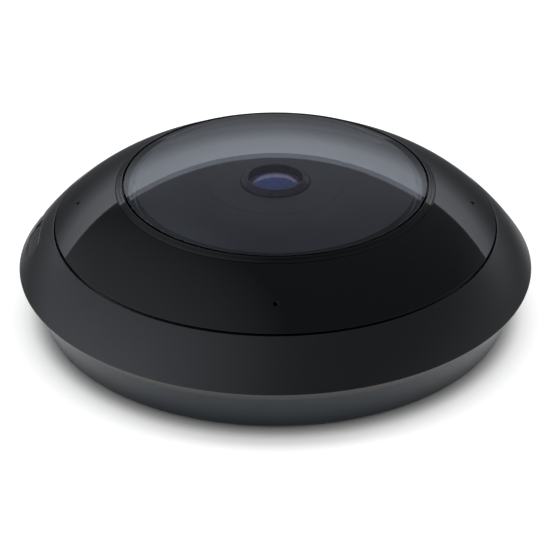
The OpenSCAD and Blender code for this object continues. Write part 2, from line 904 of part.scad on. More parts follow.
// Lens mount, with the room in which the filter carriage slides
module lens_mount() {
    room_z = carriage_z - carriage_gap;
    room_h = carriage_t + 2 * carriage_gap;
    room_low = carriage_low_x - carriage_gap;
    room_high = carriage_high_x + filter_travel + carriage_gap;
    room_y = carriage_half_y + carriage_gap;
    color("#222427")
        difference() {
            union() {
                block(mount_box, sensor_top, mount_box_h);
                translate([0, 0, board_z - slip - over])
                    cylinder(r = mount_neck_r, h = board_t + slip + over + mount_flange_t / 2);
                translate([0, 0, board_top])
                    cylinder(r = mount_flange_r, h = mount_flange_t);
                translate([0, 0, board_top])
                    cylinder(r = mount_boss_r, h = lock_ring_z - board_top);
            }
            // Thread, aperture and the well over the image sensor
            translate([0, 0, barrel_z - slip])
                cylinder(r = thread_r + fit, h = lock_ring_z - barrel_z + slip + over);
            translate([0, 0, sensor_top])
                cylinder(r = aperture_r, h = barrel_z - sensor_top);
            translate([0, 0, -over])
                block([sensor_hole, sensor_hole], sensor_top, room_z - sensor_top + 2 * over);
            translate([room_low, -room_y, room_z])
                cube([room_high - room_low, 2 * room_y, room_h]);
            // Room for the magnet's arm
            translate([arm_x - arm_w / 2 - carriage_gap, -carriage_half_y - arm_l - carriage_gap, room_z])
                cube([arm_w + filter_travel + 2 * carriage_gap, arm_l + carriage_gap + over, room_h]);
            for (a = mount_screw_angles)
                rotate([0, 0, a])
                    translate([mount_screw_r, 0, board_top - over])
                        cylinder(r = small_screw_r + fit, h = mount_flange_t + 2 * over);
            sensor_screw_places()
                translate([0, 0, sensor_top - over])
                    cylinder(r = small_screw_r + fit, h = sensor_screw_l + over);
        }
}

module lens_mount_screws() {
    color("#8d9094")
        for (a = mount_screw_angles)
            rotate([0, 0, a])
                translate([mount_screw_r, 0, 0])
                    screw(board_top + mount_flange_t, mount_flange_t + board_t / 2, small_screw_r,
                        small_head_r, small_head_h, false);
}

module sensor_screw_places() {
    for (x = [-1, 1], y = [-1, 1])
        translate([x * sensor_screw_at[0], y * sensor_screw_at[1], 0])
            children();
}

module sensor_board() {
    color("#1f4a35")
        difference() {
            union() {
                block(sensor_board_size, sensor_board_z, small_board_t);
                translate([sensor_board_size[0] / 2 - over, -sensor_tail[1] / 2, sensor_board_z])
                    cube([sensor_tail[0] + over, sensor_tail[1], small_board_t]);
            }
            sensor_screw_places()
                translate([0, 0, sensor_board_z - over])
                    cylinder(r = small_screw_r + fit, h = small_board_t + 2 * over);
        }
}

module image_sensor() {
    color("#3c4a5c")
        block(sensor_size, sensor_top, sensor_size[2]);
}

module sensor_screws() {
    color("#8d9094")
        sensor_screw_places()
            screw(sensor_board_z, sensor_screw_l, small_screw_r, small_head_r, small_head_h, true);
}

// Flat cable from the sensor board up to the main board
module sensor_flex() {
    low = sensor_top;
    high = board_z - connector_h;
    near = sensor_board_size[0] / 2 + slip;
    bend = sensor_board_size[0] / 2 + sensor_tail[0];
    far = sensor_connector_at[0] + sensor_connector_size[0] / 2;
    color("#b9793a")
        translate([0, sensor_connector_size[1] / 2, 0])
            rotate([90, 0, 0])
                linear_extrude(sensor_connector_size[1])
                    polygon([
                        [near, low],
                        [bend + flex_t, low],
                        [bend + flex_t, high - flex_t],
                        [far, high - flex_t],
                        [far, high],
                        [bend, high],
                        [bend, low + flex_t],
                        [near, low + flex_t]
                    ]);
}

module filter_coil() {
    coil_y = -mount_box[1] / 2 - coil_flange / 2;
    coil_z = carriage_z + carriage_t / 2;
    color("#b0642c")
        translate([0, coil_y, coil_z])
            rotate([0, 90, 0]) {
                translate([0, 0, -coil_l / 2])
                    cylinder(r = coil_r, h = coil_l);
                for (side = [-1, 1])
                    translate([0, 0, side * (coil_l - coil_flange_t) / 2])
                        cube([coil_flange, coil_flange, coil_flange_t], center = true);
            }
}

module filter_places() {
    for (x = [0, -filter_travel])
        translate([x, 0, 0])
            children();
}

module filter_carriage() {
    opening = filter_w - 2 * carriage_ledge;
    pocket = filter_w + slip;
    color("#1d1e20")
        difference() {
            union() {
                translate([carriage_low_x, -carriage_half_y, carriage_z])
                    cube([carriage_high_x - carriage_low_x, 2 * carriage_half_y, carriage_t]);
                translate([arm_x - arm_w / 2, -carriage_half_y - arm_l, carriage_z])
                    cube([arm_w, arm_l + over, carriage_t - magnet_size[2]]);
            }
            filter_places() {
                translate([0, 0, -over])
                    block([opening, opening], carriage_z, carriage_t + 2 * over);
                block([pocket, pocket], carriage_z + carriage_t - filter_sink, filter_sink + over);
            }
        }
}

module filter_glass(x) {
    translate([x, 0, 0])
        block([filter_w, filter_w], carriage_z + carriage_t - filter_sink, filter_t);
}

module ir_cut_filter() {
    color("#7fa8b8")
        filter_glass(0);
}

module clear_filter() {
    color("#c8d2d6")
        filter_glass(-filter_travel);
}

module filter_magnet() {
    color("#6d7074")
        translate([arm_x, -carriage_half_y - arm_margin - magnet_size[1] / 2, 0])
            block(magnet_size, carriage_z + carriage_t - magnet_size[2], magnet_size[2]);
}

// Lens barrel: a thread, a wider head and three bores for the glasses
module lens_barrel() {
    front_z = barrel_top - front_bore_depth;
    middle_z = front_z - middle_bore_depth;
    color("#1a1b1d")
        rotate_extrude()
            polygon([
                [rear_bore_r, barrel_z],
                [thread_r, barrel_z],
                [thread_r, barrel_head_z],
                [lens_r, barrel_head_z],
                [lens_r, barrel_top],
                [front_bore_r, barrel_top],
                [front_bore_r, front_z],
                [middle_bore_r, front_z],
                [middle_bore_r, middle_z],
                [rear_bore_r, middle_z]
            ]);
}

module front_lens() {
    front_z = barrel_top - front_bore_depth;
    glass_r = front_bore_r - fit;
    edge_z = front_z + front_lens_edge;
    sphere_z = edge_z - sqrt(pow(front_lens_r, 2) - pow(glass_r, 2));
    color("#4a4470")
        rotate_extrude()
            intersection() {
                translate([0, sphere_z])
                    circle(r = front_lens_r);
                translate([0, front_z])
                    square([glass_r, 2 * front_lens_r]);
            }
}

// Glass with a round upper face, resting on the floor of its bore
module lens_glass(r, z, h, face_r) {
    rotate_extrude()
        intersection() {
            translate([0, z + h - face_r])
                circle(r = face_r);
            translate([0, z])
                square([r, h]);
        }
}

module middle_lens() {
    color("#5b6f86")
        lens_glass(middle_bore_r - fit, barrel_top - front_bore_depth - middle_bore_depth,
            middle_bore_depth - lens_edge_gap, middle_lens_r);
}

module rear_lens() {
    color("#5b6f86")
        lens_glass(rear_bore_r - fit, barrel_z + lens_edge_gap, middle_bore_depth, rear_lens_r);
}

// Ring screwed over the front glass
module lens_retaining_ring() {
    front_z = barrel_top - front_bore_depth;
    glass_r = front_bore_r - fit;
    grip_r = front_bore_r - lens_grip;
    edge_z = front_z + front_lens_edge;
    sphere_z = edge_z - sqrt(pow(front_lens_r, 2) - pow(glass_r, 2));
    grip_z = sphere_z + sqrt(pow(front_lens_r, 2) - pow(grip_r, 2)) + fit;
    bevel = lens_ring_h * ring_bevel_share;
    color("#2a2628")
        rotate_extrude()
            polygon([
                [grip_r, grip_z],
                [front_bore_r - fit, grip_z],
                [front_bore_r - fit, barrel_top],
                [lens_r, barrel_top],
                [lens_r, lens_top - bevel],
                [lens_r - bevel * ring_bevel_slope, lens_top],
                [lens_opening_d / 2, lens_top]
            ]);
}

module lens_lock_ring() {
    color("#55585c")
        ring(mount_boss_r, thread_r + fit, lock_ring_z, lock_ring_h);
}

module lamp_places() {
    on_circle(lamps, lamp_circle_r, 0)
        children();
}

module lamp_board() {
    color("#26352f")
        difference() {
            ring(lamp_board_r, lamp_board_in_r, lamp_board_z, small_board_t);
            for (a = tab_angles)
                rotate([0, 0, a])
                    translate([tab_screw_r, 0, lamp_board_z - over])
                        cylinder(r = small_screw_r + fit, h = small_board_t + 2 * over);
        }
}

module infrared_lamps() {
    top = lamp_board_z + small_board_t;
    color("#c7b8a4")
        lamp_places() {
            block([lamp_w, lamp_w], top, lamp_base_h);
            translate([0, 0, top + lamp_base_h / 2])
                cylinder(r = lamp_r, h = lamp_h - lamp_base_h / 2);
        }
}

module lamp_board_screws() {
    color("#8d9094")
        for (a = tab_angles)
            rotate([0, 0, a])
                translate([tab_screw_r, 0, 0])
                    screw(lamp_board_z + small_board_t, small_board_t + tab_t, small_screw_r,
                        small_head_r, small_head_h, false);
}

// Flat cable from the main board up to the lamp board
module lamp_flex() {
    low = board_top + connector_h;
    high = lamp_board_z - connector_h;
    near = lamp_connector_at[0] - lamp_connector_size[0] / 2;
    bend = lamp_connector_at[0] + lamp_connector_size[0] / 2;
    far = bend + lamp_connector_size[0];
    color("#b9793a")
        translate([0, lamp_connector_size[1] / 2 - slip, 0])
            rotate([90, 0, 0])
                linear_extrude(lamp_connector_size[1] - 2 * slip)
                    polygon([
                        [near, low],
                        [bend, low],
                        [bend, high - flex_t],
                        [far, high - flex_t],
                        [far, high],
                        [bend - flex_t, high],
                        [bend - flex_t, low + flex_t],
                        [near, low + flex_t]
                    ]);
}

// Dark plate that the infrared lamps shine through
module face_plate() {
    color("#2b2c2f")
        rotate_extrude()
            polygon([
                [face_opening_r, deck_z],
                [face_r, deck_z],
                [face_r, face_top - face_bevel_h],
                [face_r - face_bevel_w, face_top],
                [surround_d / 2 + slip, face_top],
                [surround_d / 2 + slip, deck_z + face_recess_t],
                [face_opening_r, deck_z + face_recess_t]
            ]);
}

module lens_surround() {
    z = deck_z + face_recess_t;
    top = face_top + surround_rise;
    color("#242528")
        rotate_extrude()
            polygon([
                [surround_in_r, z],
                [surround_d / 2, z],
                [surround_d / 2, top - surround_rise],
                [surround_d / 2 - surround_rise, top],
                [surround_in_r, top]
            ]);
}

module window_gasket() {
    color("#141517")
        ring(window_edge_r, window_edge_r - gasket_w, deck_z, gasket_t);
}

module window_dome() {
    color("#5d646d")
        rotate_extrude()
            intersection() {
                translate([0, window_cz])
                    difference() {
                        circle(r = window_r);
                        circle(r = window_r - window_t);
                    }
                translate([0, deck_z])
                    square([window_edge_r, window_r]);
            }
}

// Glossy ring between the window and the band
module trim_section() {
    skirt_in = window_edge_r + window_gap;
    crown_section(lip_tilt, groove_tilt - groove_half, 0, ring_t);
    polygon([
        [skirt_in, deck_z],
        [skirt_in + skirt_t, deck_z],
        [skirt_in + skirt_t, lip_z - ring_t / 2],
        [lip_r, lip_z],
        [skirt_in, window_edge_z]
    ]);
}

module trim_ring() {
    foot = board_top + chassis_foot_t;
    color("#101113")
        difference() {
            union() {
                rotate_extrude()
                    trim_section();
                // Bosses for the case screws, joined to the ring's inner face
                intersection() {
                    on_circle(case_screw_count, case_r, case_screw_angle)
                        translate([0, 0, foot])
                            cylinder(r = ring_boss_r, h = lip_z - foot);
                    rotate_extrude()
                        intersection() {
                            translate([crown_cr, crown_cz])
                                circle(r = crown_r - ring_t / 2);
                            translate([case_r - boss_r, foot])
                                square([2 * boss_r, lip_z - foot]);
                        }
                }
            }
            on_circle(case_screw_count, case_r, case_screw_angle)
                translate([0, 0, foot - over])
                    cylinder(r = case_screw_r + fit, h = case_grip + fit + over);
            // Microphone holes, with a small bevel at the mouth
            mic_places() {
                translate([0, 0, -ring_t - over])
                    cylinder(d = mic_hole_d, h = ring_t + 2 * over);
                translate([0, 0, -mic_hole_d * mic_bevel_share])
                    cylinder(d1 = mic_hole_d, d2 = 2 * mic_hole_d, h = mic_hole_d / 2);
            }
        }
}

// Satin band from the groove to the rim
module band_section() {
    foot_in = tongue_r + slip;
    lowest = crown_at(rim_tilt, 0);
    knee = crown_at(rim_tilt - crown_span(band_t), band_t / 2);
    crown_section(groove_tilt + groove_half, rim_tilt, 0, band_t);
    // Foot on the shoulder of the base
    polygon([
        [foot_in, seam_z],
        [rim_r - chamfer_w, seam_z],
        lowest,
        knee,
        [foot_in, seam_z + tongue_h + slip]
    ]);
    // Step that the trim ring rests on
    crown_section(groove_tilt - crown_span(ledge_w), groove_tilt + crown_span(ledge_w), ring_t + slip / 2,
        ring_t + slip / 2 + ledge_t);
}

module outer_band() {
    color("#34363a")
        difference() {
            rotate_extrude()
                band_section();
            at_button() {
                slot_solid(button_l + 2 * recess_w, button_w + 2 * recess_w, -recess_depth,
                    recess_depth + over);
                slot_solid(button_l + 2 * button_gap, button_w + 2 * button_gap, -chamber_depth - over,
                    chamber_depth + 2 * over);
                slot_solid(flange_hole_l, flange_hole_w, -side_board_back, side_board_back - chamber_depth);
                translate([0, light_offset, -side_board_back])
                    cylinder(d = light_d + 2 * fit, h = side_board_back + over);
            }
        }
}

module reset_button() {
    color("#46494e")
        at_button() {
            slot_solid(button_l, button_w, -flange_back, flange_back - button_sunk);
            slot_solid(button_l + 2 * flange_w, button_w + 2 * flange_w, -flange_back, flange_t);
            translate([0, 0, -stem_back])
                cylinder(r = stem_r, h = stem_l + flange_t / 2);
        }
}

module switch_plunger() {
    color("#7b2f2a")
        at_button()
            translate([0, 0, -stem_back - plunger_l])
                cylinder(r = plunger_r, h = plunger_l);
}

module reset_switch() {
    depth = stem_back + plunger_l + button_travel + button_gap - switch_top;
    color("#3d4045")
        at_button()
            difference() {
                block([switch_w, switch_w], -side_board_top, switch_h);
                translate([0, 0, -switch_top - depth])
                    cylinder(r = plunger_r + plunger_fit, h = depth + over);
            }
}

module side_board() {
    color("#1f4a35")
        at_button() {
            translate([-side_board_low, -side_board_end, -side_board_back])
                cube([side_board_low + side_board_high, 2 * side_board_end, side_board_t]);
            translate([-side_board_notch, 0, -side_board_back])
                cube([
                    side_board_notch + side_board_high,
                    light_offset + led_size[0] / 2 + fit,
                    side_board_t
                ]);
        }
}

module status_led() {
    color("#e9e4cf")
        at_button()
            translate([0, light_offset, 0])
                block([led_size[1], led_size[0]], -side_board_top, led_h);
}

// Clear rod from the light up to the surface of the band
module status_light_pipe() {
    color("#dfe6ea")
        intersection() {
            at_button()
                translate([0, light_offset, -side_board_top + led_h])
                    cylinder(d = light_d, h = side_board_top);
            rotate_extrude()
                intersection() {
                    translate([crown_cr, crown_cz])
                        circle(r = crown_r);
                    translate([bore_r - side_board_back, 0])
                        square([rim_r, lip_z]);
                }
        }
}

// Places of the microphones, with Z along the crown's normal
module mic_places() {
    for (i = [0:mics - 1])
        on_crown(mic_r, i * 360 / mics)
            children();
}

module mic_boots() {
    color("#1b1c1e")
        mic_places()
            difference() {
                translate([0, 0, -mic_pad_top])
                    cylinder(d = mic_boot_d, h = mic_boot_h);
                translate([0, 0, -mic_pad_top - over])
                    cylinder(d = mic_hole_d, h = mic_boot_h + 2 * over);
            }
}

module microphones() {
    color("#b7b9bc")
        mic_places()
            block(mic_size, -mic_pad_top - mic_pad_t - mic_size[2], mic_size[2]);
}

// Thin flexible ring that joins the microphones
module mic_flex() {
    color("#b9793a") {
        rotate_extrude()
            translate([mic_r, crown_at(mic_tilt, 0)[1]])
                rotate(-mic_tilt)
                    translate([mic_strip_low, -mic_pad_top - mic_strip_t])
                        square([mic_strip_w, mic_strip_t]);
        mic_places()
            translate([0, 0, -mic_pad_top - mic_pad_t])
                cylinder(d = mic_boot_d, h = mic_pad_t);
    }
}

mount_plate();
rear_housing();
housing_seal();
case_screws();
ethernet_jack();
jack_contacts();
jack_gasket();
main_board();
processor();
memory_chips();
thermal_pad();
heat_spreader();
spreader_screws();
power_transformer();
capacitors();
board_connectors();
chassis();
lens_mount();
lens_mount_screws();
sensor_board();
image_sensor();
sensor_screws();
sensor_flex();
filter_coil();
filter_carriage();
ir_cut_filter();
clear_filter();
filter_magnet();
lens_barrel();
front_lens();
middle_lens();
rear_lens();
lens_retaining_ring();
lens_lock_ring();
lamp_board();
infrared_lamps();
lamp_board_screws();
lamp_flex();
face_plate();
lens_surround();
window_gasket();
window_dome();
trim_ring();
outer_band();
mic_boots();
microphones();
mic_flex();
side_board();
reset_switch();
status_led();
status_light_pipe();
reset_button();
switch_plunger();
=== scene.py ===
# %% [markdown]
# # A ceiling camera with a dome window
# The object is a round ceiling camera, laid on its ceiling face with the window upwards.
# Its solids come from a CAD model, and this lesson gives them their looks: rounded edges,
# real plastics, glass and metal, and the light of a plain studio. The first step opens the
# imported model, so that every later piece is made in the same place and at the same size.

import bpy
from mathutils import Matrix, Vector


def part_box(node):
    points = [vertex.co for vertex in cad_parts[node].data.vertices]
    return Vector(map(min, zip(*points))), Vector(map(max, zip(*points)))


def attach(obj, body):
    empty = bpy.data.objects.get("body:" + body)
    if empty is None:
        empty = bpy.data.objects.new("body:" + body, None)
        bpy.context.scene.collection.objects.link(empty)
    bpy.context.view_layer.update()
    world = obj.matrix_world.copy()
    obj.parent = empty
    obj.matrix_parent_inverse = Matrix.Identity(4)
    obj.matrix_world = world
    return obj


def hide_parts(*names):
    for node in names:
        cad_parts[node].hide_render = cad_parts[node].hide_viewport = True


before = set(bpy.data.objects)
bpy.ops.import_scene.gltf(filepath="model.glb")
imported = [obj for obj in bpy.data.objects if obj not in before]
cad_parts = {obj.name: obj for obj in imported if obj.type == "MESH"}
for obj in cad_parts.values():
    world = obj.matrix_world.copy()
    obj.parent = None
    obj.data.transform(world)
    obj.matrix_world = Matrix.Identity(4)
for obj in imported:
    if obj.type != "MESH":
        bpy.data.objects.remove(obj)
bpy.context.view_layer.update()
print("CAD nodes:", len(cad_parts))

# %% [markdown]
# ## Tools and units
# Blender works in metres, and a maker of cameras in millimetres. All sizes below are written
# in millimetres and go through `MM` once. The node objects from the CAD model are kept in a
# short name, because nearly every step needs them.

# %% Units
import math

import bmesh
import bpy
import numpy as np
from mathutils import Matrix, Vector

MM = 0.001
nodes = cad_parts
scene = bpy.context.scene


def box_mm(node):
    """Lowest and highest corner of a CAD node, in millimetres."""
    low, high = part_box(node)
    return low / MM, high / MM


rim_r = box_mm("outer_band")[1].x
print("rim radius of the CAD model: %.3f mm" % rim_r)

# %% [markdown]
# ## The camera that takes the picture
# A product picture like this one is taken with a long lens, so that the round rim stays a
# calm ellipse. The camera stands 620 mm away and looks down by 30 degrees. The middle of
# the frame is a point on the lens axis, a little above the ceiling face.

# %% Camera
VIEW_ELEVATION = 30.01
VIEW_DISTANCE = 619.7
VIEW_LENS = 163.0
VIEW_TARGET = (-0.10, 0.0, 8.29)
SENSOR_WIDTH = 36.0

elevation = math.radians(VIEW_ELEVATION)
look = Vector((0.0, math.cos(elevation), -math.sin(elevation)))
camera_data = bpy.data.cameras.new("studio_camera")
camera_data.lens = VIEW_LENS
camera_data.sensor_width = SENSOR_WIDTH
camera_data.clip_start = 0.02
camera_data.clip_end = 30.0
camera = bpy.data.objects.new("studio_camera", camera_data)
camera.location = (Vector(VIEW_TARGET) - look * VIEW_DISTANCE) * MM
camera.rotation_mode = "QUATERNION"
camera.rotation_quaternion = look.to_track_quat("-Z", "Y")
scene.collection.objects.link(camera)
scene.camera = camera
scene.view_settings.view_transform = "Standard"
print("camera at", [round(v, 3) for v in camera.location])

# %% [markdown]
# ## Words for shader nodes
# A material in Blender is a small network of nodes. Writing each one out would fill the
# lesson, so these helpers say "a node of this kind, with these settings" in one line. A value
# that is itself a socket is joined with a link. Nodes could also be joined by hand in the
# Shader Editor, but a script shows every number and makes the same material each time.

# %% Node helpers
def put(socket, value):
    """Gives a socket a value, or a link where the value is another node's output."""
    if isinstance(value, bpy.types.NodeSocket):
        socket.id_data.links.new(value, socket)
    else:
        socket.default_value = value


def add(tree, kind, settings=None, **inputs):
    """A new node. Settings are its own choices, inputs are its sockets by name."""
    made = tree.nodes.new(kind)
    for name, value in (settings or {}).items():
        setattr(made, name, value)
    for name, value in inputs.items():
        put(made.inputs[name.replace("_", " ")], value)
    return made


def maths(tree, operation, *values):
    """A sum of one, two or three values."""
    made = tree.nodes.new("ShaderNodeMath")
    made.operation = operation
    for socket, value in zip(made.inputs, values):
        put(socket, value)
    return made.outputs[0]


def blend_colours(tree, factor, first, second):
    """The first colour where factor is 0, the second where it is 1."""
    made = tree.nodes.new("ShaderNodeMix")
    made.data_type = "RGBA"
    for socket, value in zip((made.inputs[0], made.inputs[6], made.inputs[7]), (factor, first, second)):
        put(socket, value)
    return made.outputs[2]


def spread(tree, value, low, high, to_low, to_high):
    """Maps a value from one range to another."""
    made = tree.nodes.new("ShaderNodeMapRange")
    for socket, setting in zip(made.inputs, (value, low, high, to_low, to_high)):
        put(socket, setting)
    return made.outputs[0]


def ramp(tree, value, stops):
    """A colour that follows a value from 0 to 1, given as (position, colour) stops."""
    made = add(tree, "ShaderNodeValToRGB", Fac=value)
    elements = made.color_ramp.elements
    while len(elements) < len(stops):
        elements.new(0.5)
    for element, (position, colour) in zip(elements, stops):
        element.position = position
        element.color = colour
    return made.outputs[0]


def place(tree):
    """Where a point is on the piece, in metres."""
    return tree.nodes.new("ShaderNodeTexCoord").outputs["Object"]


def grey(level):
    """A colour without a tint."""
    return (level, level, level, 1.0)


# %% [markdown]
# ## Effects that many finishes share
# Moulded plastic, paint and metal differ in colour, but share the same small faults: a fine
# grain, a light unevenness of gloss, dust that settles on what faces up, and edges that hands
# and packing have polished. Each is a node group, built once and placed in many materials
# with its own values.

# %% Start a shared effect
def effect(name, inputs, outputs):
    """An empty node group with float inputs and named outputs."""
    tree = bpy.data.node_groups.new(name, "ShaderNodeTree")
    for label, value in inputs.items():
        socket = tree.interface.new_socket(label, in_out="INPUT", socket_type="NodeSocketFloat")
        socket.default_value = value
    for label in outputs:
        tree.interface.new_socket(label, in_out="OUTPUT", socket_type="NodeSocketFloat")
    start = tree.nodes.new("NodeGroupInput")
    end = tree.nodes.new("NodeGroupOutput")
    print("shared effect:", name)
    return tree, start.outputs, end.inputs


def use(tree, group, **inputs):
    """Places a shared effect in a material and gives back its outputs."""
    made = tree.nodes.new("ShaderNodeGroup")
    made.node_tree = group
    for name, value in inputs.items():
        put(made.inputs[name], value)
    return made.outputs


# %% Grain of moulded plastic
grain, given, result = effect("moulded_grain", {"PerMetre": 3000.0}, ["Height"])
fine = add(grain, "ShaderNodeTexNoise", Vector=place(grain), Scale=given["PerMetre"], Detail=2.0)
cells = add(grain, "ShaderNodeTexVoronoi", Vector=place(grain), Scale=given["PerMetre"])
put(result["Height"], maths(grain, "MULTIPLY_ADD", cells.outputs["Distance"], 0.5, fine.outputs[0]))

# %% Unevenness of gloss, broad and soft
uneven, given, result = effect("uneven_gloss", {"PerMetre": 40.0, "Low": 0.3, "High": 0.4}, ["Value"])
broad = add(uneven, "ShaderNodeTexNoise", Vector=place(uneven), Scale=given["PerMetre"], Detail=4.0)
put(result["Value"], spread(uneven, broad.outputs[0], 0.3, 0.7, given["Low"], given["High"]))

# %% Dust on what faces up
dust, given, result = effect("settled_dust", {"PerMetre": 900.0, "Amount": 0.1}, ["Mask"])
facing = add(dust, "ShaderNodeSeparateXYZ", Vector=dust.nodes.new("ShaderNodeNewGeometry").outputs["Normal"])
upward = spread(dust, facing.outputs["Z"], 0.2, 1.0, 0.0, 1.0)
specks = add(dust, "ShaderNodeTexNoise", Vector=place(dust), Scale=given["PerMetre"], Detail=6.0)
patches = add(dust, "ShaderNodeTexNoise", Vector=place(dust), Scale=60.0, Detail=3.0)
speck_mask = spread(dust, specks.outputs[0], 0.56, 0.72, 0.0, 1.0)
patch_mask = spread(dust, patches.outputs[0], 0.35, 0.7, 0.2, 1.0)
both = maths(dust, "MULTIPLY", speck_mask, patch_mask)
put(result["Mask"], maths(dust, "MULTIPLY", maths(dust, "MULTIPLY", both, upward), given["Amount"]))

# %% Edges polished by handling: the pieces carry an attribute that is 1 on their edges
wear, given, result = effect("edge_wear", {"PerMetre": 500.0, "Amount": 0.5}, ["Mask"])
edge = add(wear, "ShaderNodeAttribute", {"attribute_name": "edge"}).outputs["Fac"]
broken = add(wear, "ShaderNodeTexNoise", Vector=place(wear), Scale=given["PerMetre"], Detail=4.0)
patchy = spread(wear, broken.outputs[0], 0.35, 0.65, 0.2, 1.0)
put(result["Mask"], maths(wear, "MULTIPLY", maths(wear, "MULTIPLY", edge, patchy), given["Amount"]))

# %% Hairline scratches, long in one direction and thin in the other
hairs, given, result = effect("hairlines", {"PerMetre": 60.0, "Stretch": 40.0, "Amount": 1.0}, ["Mask"])
axes = add(hairs, "ShaderNodeSeparateXYZ", Vector=place(hairs))
long_way = maths(hairs, "DIVIDE", axes.outputs["X"], given["Stretch"])
stretched = add(hairs, "ShaderNodeCombineXYZ", X=long_way, Y=axes.outputs["Y"], Z=axes.outputs["Z"])
lines = add(hairs, "ShaderNodeTexNoise", Vector=stretched.outputs[0], Scale=given["PerMetre"], Detail=5.0)
hair_mask = spread(hairs, lines.outputs[0], 0.45, 0.6, 0.0, 1.0)
put(result["Mask"], maths(hairs, "MULTIPLY", hair_mask, given["Amount"]))

# %% [markdown]
# ## A finish in one call
# Most of the camera is plastic, paint or metal that differs only in colour, roughness and the
# strength of the shared effects. `solid_finish` joins them: broad unevenness drives the
# roughness, grain drives a bump, dust lightens the colour and worn edges are smoother.

# %% Solid finishes
GLOSS_SPREAD = 0.1
STREAK_ROUGHENS = 0.15
STREAK_LIGHTENS = 0.3
WEAR_LIGHTENS = 2.2
WEAR_LEAST = 0.01
WEAR_SMOOTHS = -0.12
DUST_COLOUR = (0.35, 0.34, 0.32, 1.0)
DUST_ROUGHENS = 0.5
finishes = {}


def new_finish(name):
    """A material with an empty Principled shader."""
    made = bpy.data.materials.new(name)
    made.use_nodes = True
    shader = made.node_tree.nodes["Principled BSDF"]
    finishes[name] = made
    return made, made.node_tree, shader


def solid_finish(name, colour, rough, metal=0.0, grain_per_m=3000.0, grain_um=4.0, tone=0.12,
                 dusty=0.0, worn=0.0, streak=0.0, coat=0.0, mirror=0.5):
    """Plastic, paint, rubber or metal. Grain depth is in thousandths of a millimetre."""
    made, tree, shader = new_finish(name)
    light = [min(1.0, c * (1 + tone)) for c in colour] + [1.0]
    dark = [c * (1 - tone) for c in colour] + [1.0]
    cloud = use(tree, uneven, PerMetre=70.0, Low=0.0, High=1.0)["Value"]
    base = blend_colours(tree, cloud, dark, light)
    low, high = rough * (1 - GLOSS_SPREAD), rough * (1 + GLOSS_SPREAD)
    gloss = use(tree, uneven, PerMetre=45.0, Low=low, High=high)["Value"]
    if streak:
        mask = use(tree, hairs, PerMetre=9000.0, Stretch=60.0, Amount=streak)["Mask"]
        gloss = maths(tree, "MULTIPLY_ADD", mask, STREAK_ROUGHENS, gloss)
        base = blend_colours(tree, maths(tree, "MULTIPLY", mask, STREAK_LIGHTENS), base, light)
    if worn:
        mask = use(tree, wear, PerMetre=700.0, Amount=worn)["Mask"]
        rubbed = [min(1.0, c * WEAR_LIGHTENS + WEAR_LEAST) for c in colour] + [1.0]
        base = blend_colours(tree, mask, base, rubbed)
        gloss = maths(tree, "MULTIPLY_ADD", mask, WEAR_SMOOTHS, gloss)
    if dusty:
        mask = use(tree, dust, PerMetre=1500.0, Amount=dusty)["Mask"]
        base = blend_colours(tree, mask, base, DUST_COLOUR)
        gloss = maths(tree, "MULTIPLY_ADD", mask, DUST_ROUGHENS, gloss)
    height = use(tree, grain, PerMetre=grain_per_m)["Height"]
    bump = add(tree, "ShaderNodeBump", Distance=grain_um * MM * MM, Height=height)
    for socket, value in {"Base Color": base, "Roughness": gloss, "Normal": bump.outputs[0]}.items():
        put(shader.inputs[socket], value)
    shader.inputs["Metallic"].default_value = metal
    shader.inputs["Coat Weight"].default_value = coat
    shader.inputs["Specular IOR Level"].default_value = mirror
    return made


# %% [markdown]
# ## The finishes of the casing
# The band round the camera is a satin plastic, nearly black, with a fine grain from its mould.
# The trim ring inside it is the same black, but polished like a piano. The base is a painted
# plastic with a faint blue in it. On black plastic the eye reads the gloss and not the colour,
# so these finishes differ most in roughness and in how strongly they mirror.

# %% Casing finishes
BASE_SHINE = (0.87, 0.94, 1.0, 1.0)
band_satin = solid_finish("band_satin", (0.0019, 0.0020, 0.0022), 0.34,
                          grain_um=3.0, dusty=0.02, worn=0.35, mirror=0.85)
trim_gloss = solid_finish("trim_gloss", (0.0007, 0.0008, 0.0010), 0.045,
                          grain_per_m=500.0, grain_um=0.5, dusty=0.01, worn=0.1)
base_satin = solid_finish("base_satin", (0.013, 0.018, 0.024), 0.27, grain_um=3.0, worn=0.3, mirror=0.46)
base_satin.node_tree.nodes["Principled BSDF"].inputs["Specular Tint"].default_value = BASE_SHINE
button_satin = solid_finish("button_satin", (0.014, 0.0145, 0.0155), 0.42,
                            grain_um=3.0, worn=0.3, mirror=0.85)
print("casing finishes:", list(finishes))

# %% [markdown]
# ## The finishes behind the window
# A dark plate hides the infrared lamps. It is smooth but not polished, and the disc round the
# lens is the same plastic. The lens ring is anodised aluminium, turned on a lathe. The status
# light glows a little, so that it looks like a light and not like paint. The front glass has a
# coating against glare. Its shine is painted here as the base colour of a layer under the glass:
# violet where one looks straight at it and red where one looks along it. A Layer Weight node
# knows that angle, and the distance from the axis adds a redder rim, also painted reflection.

# %% Face finishes
face_satin = solid_finish("face_satin", (0.062, 0.061, 0.064), 0.50, grain_um=2.0, dusty=0.01)
surround_satin = solid_finish("surround_satin", (0.061, 0.060, 0.063), 0.50, grain_um=2.0, worn=0.1)
ring_anodised = solid_finish("ring_anodised", (0.055, 0.053, 0.056), 0.38, metal=0.6, grain_um=2.0, worn=0.4)
status_white = solid_finish("status_white", (0.75, 0.78, 0.80), 0.25, grain_um=0.5)
lamp_shader = status_white.node_tree.nodes["Principled BSDF"]
lamp_shader.inputs["Emission Color"].default_value = (0.90, 0.96, 1.0, 1.0)
lamp_shader.inputs["Emission Strength"].default_value = 0.9
lens_black = solid_finish("lens_black", (0.010, 0.010, 0.011), 0.55, grain_um=3.0)
print("finishes so far:", len(finishes))
